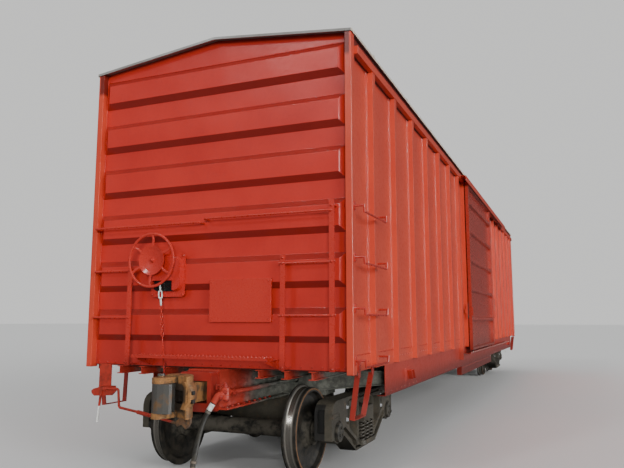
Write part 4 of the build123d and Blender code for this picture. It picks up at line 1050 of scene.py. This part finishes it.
# Air brake gear below the floor: reservoir, cylinder and control valve bolted to the crossbearers,
# with the levers and rods that they pull. All of it is steel and iron under dust.
FLANGE_Y, FLANGE_Z = 0.665, 0.800
dress("air_reservoir", dusty_frame)
dress("brake_cylinder", dusty_frame)
dress("control_valve", dusty_frame, 0.012, 3)
dress("brake_levers", dusty_frame, 0.003, 3)


def ring_of(count, radius, start=0.0):
    # Offsets of evenly spaced places round a circle.
    angles = [start + 2 * math.pi * k / count for k in range(count)]
    return [(radius * math.cos(angle), radius * math.sin(angle)) for angle in angles]


gear_bolts = bmesh.new()
flange_places = [(-0.260, FLANGE_Y + dy, FLANGE_Z + dz) for dy, dz in ring_of(8, 0.115)]
heads_at(gear_bolts, small_bolt, flange_places, (1, 0, 0))
for y, facing in ((-0.775, -1), (-0.555, 1)):
    valve_places = [(0.55 + dx, y, z) for dx in (-0.09, 0.09) for z in (0.72, 0.82, 0.92)]
    heads_at(gear_bolts, small_bolt, valve_places, (0, facing, 0))
place_piece(gear_bolts, "air_gear_bolts", dusty_frame)

# Trucks: cast side frames joined by a bolster on nests of coil springs, with roller bearings in the
# pedestals. Bare castings, dark under brown-grey dust.
JOURNAL_Y = 1.003
COIL_TURNS = 5
SPRING_LOW, SPRING_HIGH = 0.246, 0.452
truck_cast = cast_steel(
    "truck_cast", (0.050, 0.046, 0.036, 1), (0.105, 0.072, 0.044, 1), 0.45, 0.8, 0.003)
bearing_cast = cast_steel(
    "bearing_cast", (0.036, 0.035, 0.031, 1), (0.11, 0.066, 0.036, 1), 0.36, 0.7, 0.002, 0.40)
spring_dark = cast_steel(
    "spring_dark", (0.026, 0.023, 0.019, 1), (0.080, 0.054, 0.034, 1), 0.35, 0.5, 0.001)
bright_steel, tree, shader = new_material("bright_steel")
feed_all(shader, Base_Color=(0.62, 0.63, 0.65, 1), Roughness=0.35, Metallic=0.3)
place_xyz = axes(object_place(truck_cast.node_tree))
from_center = absolute(minus(absolute(place_xyz["X"]), TRUCK_X))
# Painted shade: the pocket at each outer end of the side frames is darkened.
pocket_shade = times(remap(from_center, 0.990, 1.002), remap(absolute(place_xyz["Y"]), 1.021, 1.013))
darken(truck_cast, times(pocket_shade, 0.78), (0.011, 0.012, 0.014, 1))


def coil(mesh_builder, centre, mean_radius, wire, turns, around, section):
    # The wire's section is spun about the spring's axis while it climbs.
    start = Matrix.Translation((centre[0] + mean_radius, centre[1], SPRING_LOW + wire))
    ring = bmesh.ops.create_circle(
        mesh_builder, cap_ends=True, radius=wire, segments=section, matrix=start @ ALONG_Y)
    faces = list({face for vert in ring["verts"] for face in vert.link_faces})
    steps = turns * around
    climb = (SPRING_HIGH - SPRING_LOW - 2 * wire) / steps
    bmesh.ops.spin(
        mesh_builder, geom=ring["verts"] + edges_of(ring) + faces, cent=(*centre, 0), axis=(0, 0, 1),
        dvec=(0, 0, climb), angle=2 * math.pi * turns, steps=steps)


for end, sign in ENDS:
    truck = f"truck_{end}"
    for name, width in (("side_frames", 0.008), ("truck_bolster", 0.012), ("brake_beams", 0.004)):
        dress(f"{name}_{end}", truck_cast, width, 3)
    dress(f"bearings_{end}", bearing_cast, 0.005)

    springs = bmesh.new()
    truck_bolts = bmesh.new()
    bright_bolts = bmesh.new()
    wear_pads = bmesh.new()
    for side in (1, -1):
        for dx in (-0.145, 0.0, 0.145):
            for dy in (-0.067, 0.067):
                centre = (sign * TRUCK_X + dx, side * JOURNAL_Y + dy)
                coil(springs, centre, 0.0525, 0.0110, COIL_TURNS, 14, 7)
                coil(springs, centre, 0.0270, 0.0075, COIL_TURNS + 2, 10, 6)
                for seat_z in (SPRING_LOW + 0.0025, SPRING_HIGH - 0.0025):
                    rod(springs, (*centre, seat_z), 0.062, 0.005, 20)

        out_y = side * (JOURNAL_Y + 0.090)
        pad_y = side * (JOURNAL_Y + 0.050)
        pad_face = side * (JOURNAL_Y + 0.084)
        for half in (1, -1):
            pad_x = sign * TRUCK_X + half * 0.592
            low_y, high_y = sorted((pad_y - side * 0.003, pad_face))
            plate(wear_pads, (pad_x - 0.036, low_y, 0.500), (pad_x + 0.036, high_y, 0.698), 0.003)
            pad_places = [(pad_x + half * 0.010, pad_face, z) for z in (0.650, 0.528)]
            heads_at(bright_bolts, bolt, pad_places, (0, side, 0))
            blank_x = sign * TRUCK_X + half * 0.940
            near_y, far_y = sorted((out_y - side * 0.002, out_y + side * 0.006))
            for low_x, high_x, low_z, high_z in (
                (-0.095, 0.095, 0.583, 0.590), (-0.095, 0.095, 0.621, 0.628),
                (-0.095, -0.088, 0.583, 0.628), (0.088, 0.095, 0.583, 0.628),
            ):
                plate(
                    truck_bolts, (blank_x + low_x, near_y, low_z), (blank_x + high_x, far_y, high_z),
                    0.001, 1)
        frame_places = [(sign * TRUCK_X + dx, pad_y, z) for dx in (-0.262, 0.262) for z in (0.640, 0.290)]
        heads_at(truck_bolts, bolt, frame_places, (0, side, 0))
    bmesh.ops.recalc_face_normals(springs, faces=springs.faces)
    spring_piece = place_piece(springs, f"spring_nest_{end}", spring_dark, truck)
    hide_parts(f"springs_{end}")
    place_piece(truck_bolts, f"truck_bolts_{end}", truck_cast, truck, smooth=False)
    place_piece(bright_bolts, f"bright_bolts_{end}", bright_steel, truck, smooth=False)
    place_piece(wear_pads, f"wear_pads_{end}", bearing_cast, truck, smooth=False)

# Wheelsets: one-wear steel wheels pressed on an axle. The tread and flange are worn bright, the rim's
# face carries a ring of orange rust, and the plate is nearly black.
AXLE_Z = 0.4445
AXLE_PLACES = (7.1385, 5.4115, -5.4115, -7.1385)
wheel_group, wheel_in, wheel_out = new_group(
    "rolled_wheel", {"Axle X": 0.0}, ("Color", "Roughness", "Metallic", "Height"))
place = object_place(wheel_group)
place_xyz = axes(place)
from_axle_x = minus(place_xyz["X"], wheel_in["Axle X"])
from_axle_z = minus(place_xyz["Z"], AXLE_Z)
radial = math_node("SQRT", plus(times(from_axle_x, from_axle_x), times(from_axle_z, from_axle_z)))
outboard = absolute(place_xyz["Y"])
soot = noise_at(place, 12.0, 6.0, 0.65)
plate_color = mix_colors(remap(soot, 0.36, 0.68), (0.012, 0.012, 0.011, 1), (0.036, 0.031, 0.024, 1))
hub_share = times(remap(radial, 0.20, 0.145), remap(soot, 0.3, 0.62))
plate_color = mix_colors(hub_share, plate_color, (0.070, 0.063, 0.050, 1))
rim_ring = times(remap(radial, 0.391, 0.397), remap(outboard, 0.8165, 0.8185))
rim_ring = times(rim_ring, remap(noise_at(place, 30.0, 4.0), 0.2, 0.5, 0.55, 1.0))
plate_color = mix_colors(rim_ring, plate_color, (0.165, 0.080, 0.034, 1))
tread_share = times(remap(outboard, 0.700, 0.722), remap(outboard, 0.790, 0.760))
worn_band = times(remap(radial, 0.409, 0.413), tread_share)
turning_marks = noise_at(stretched(place, (3.0, 160.0, 3.0)), 1.0, 3.0)
bright = mix_colors(turning_marks, (0.50, 0.47, 0.42, 1), (0.24, 0.22, 0.19, 1))
feed(wheel_out["Color"], mix_colors(worn_band, plate_color, bright))
feed(wheel_out["Roughness"], remap(worn_band, 0.0, 1.0, 0.72, 0.27))
feed(wheel_out["Metallic"], times(worn_band, 0.9))
feed(wheel_out["Height"], times(noise_at(place, 110.0, 4.0, 0.6), minus(1.0, worn_band)))

for number, axle_x in enumerate(AXLE_PLACES, 1):
    wheel_steel, tree, shader = new_material(f"wheel_steel_{number}")
    rolled = placed_group(tree, wheel_group, Axle_X=axle_x)
    feed_all(
        shader, Base_Color=rolled["Color"], Roughness=rolled["Roughness"], Metallic=rolled["Metallic"],
        Normal=bump(rolled["Height"], 0.002, 0.8), Specular_IOR_Level=0.3)
    dress(f"wheelset_{number}", wheel_steel)

    cap_bolts = bmesh.new()
    for side in (1, -1):
        cap_places = [
            (axle_x + dx, side * 1.1195, AXLE_Z + dz) for dx, dz in ring_of(3, 0.044, math.pi / 2)]
        heads_at(cap_bolts, bolt, cap_places, (0, side, 0))
    place_piece(
        cap_bolts, f"axle_cap_bolts_{number}", bearing_cast, f"wheelset_{number}",
        smooth=False)
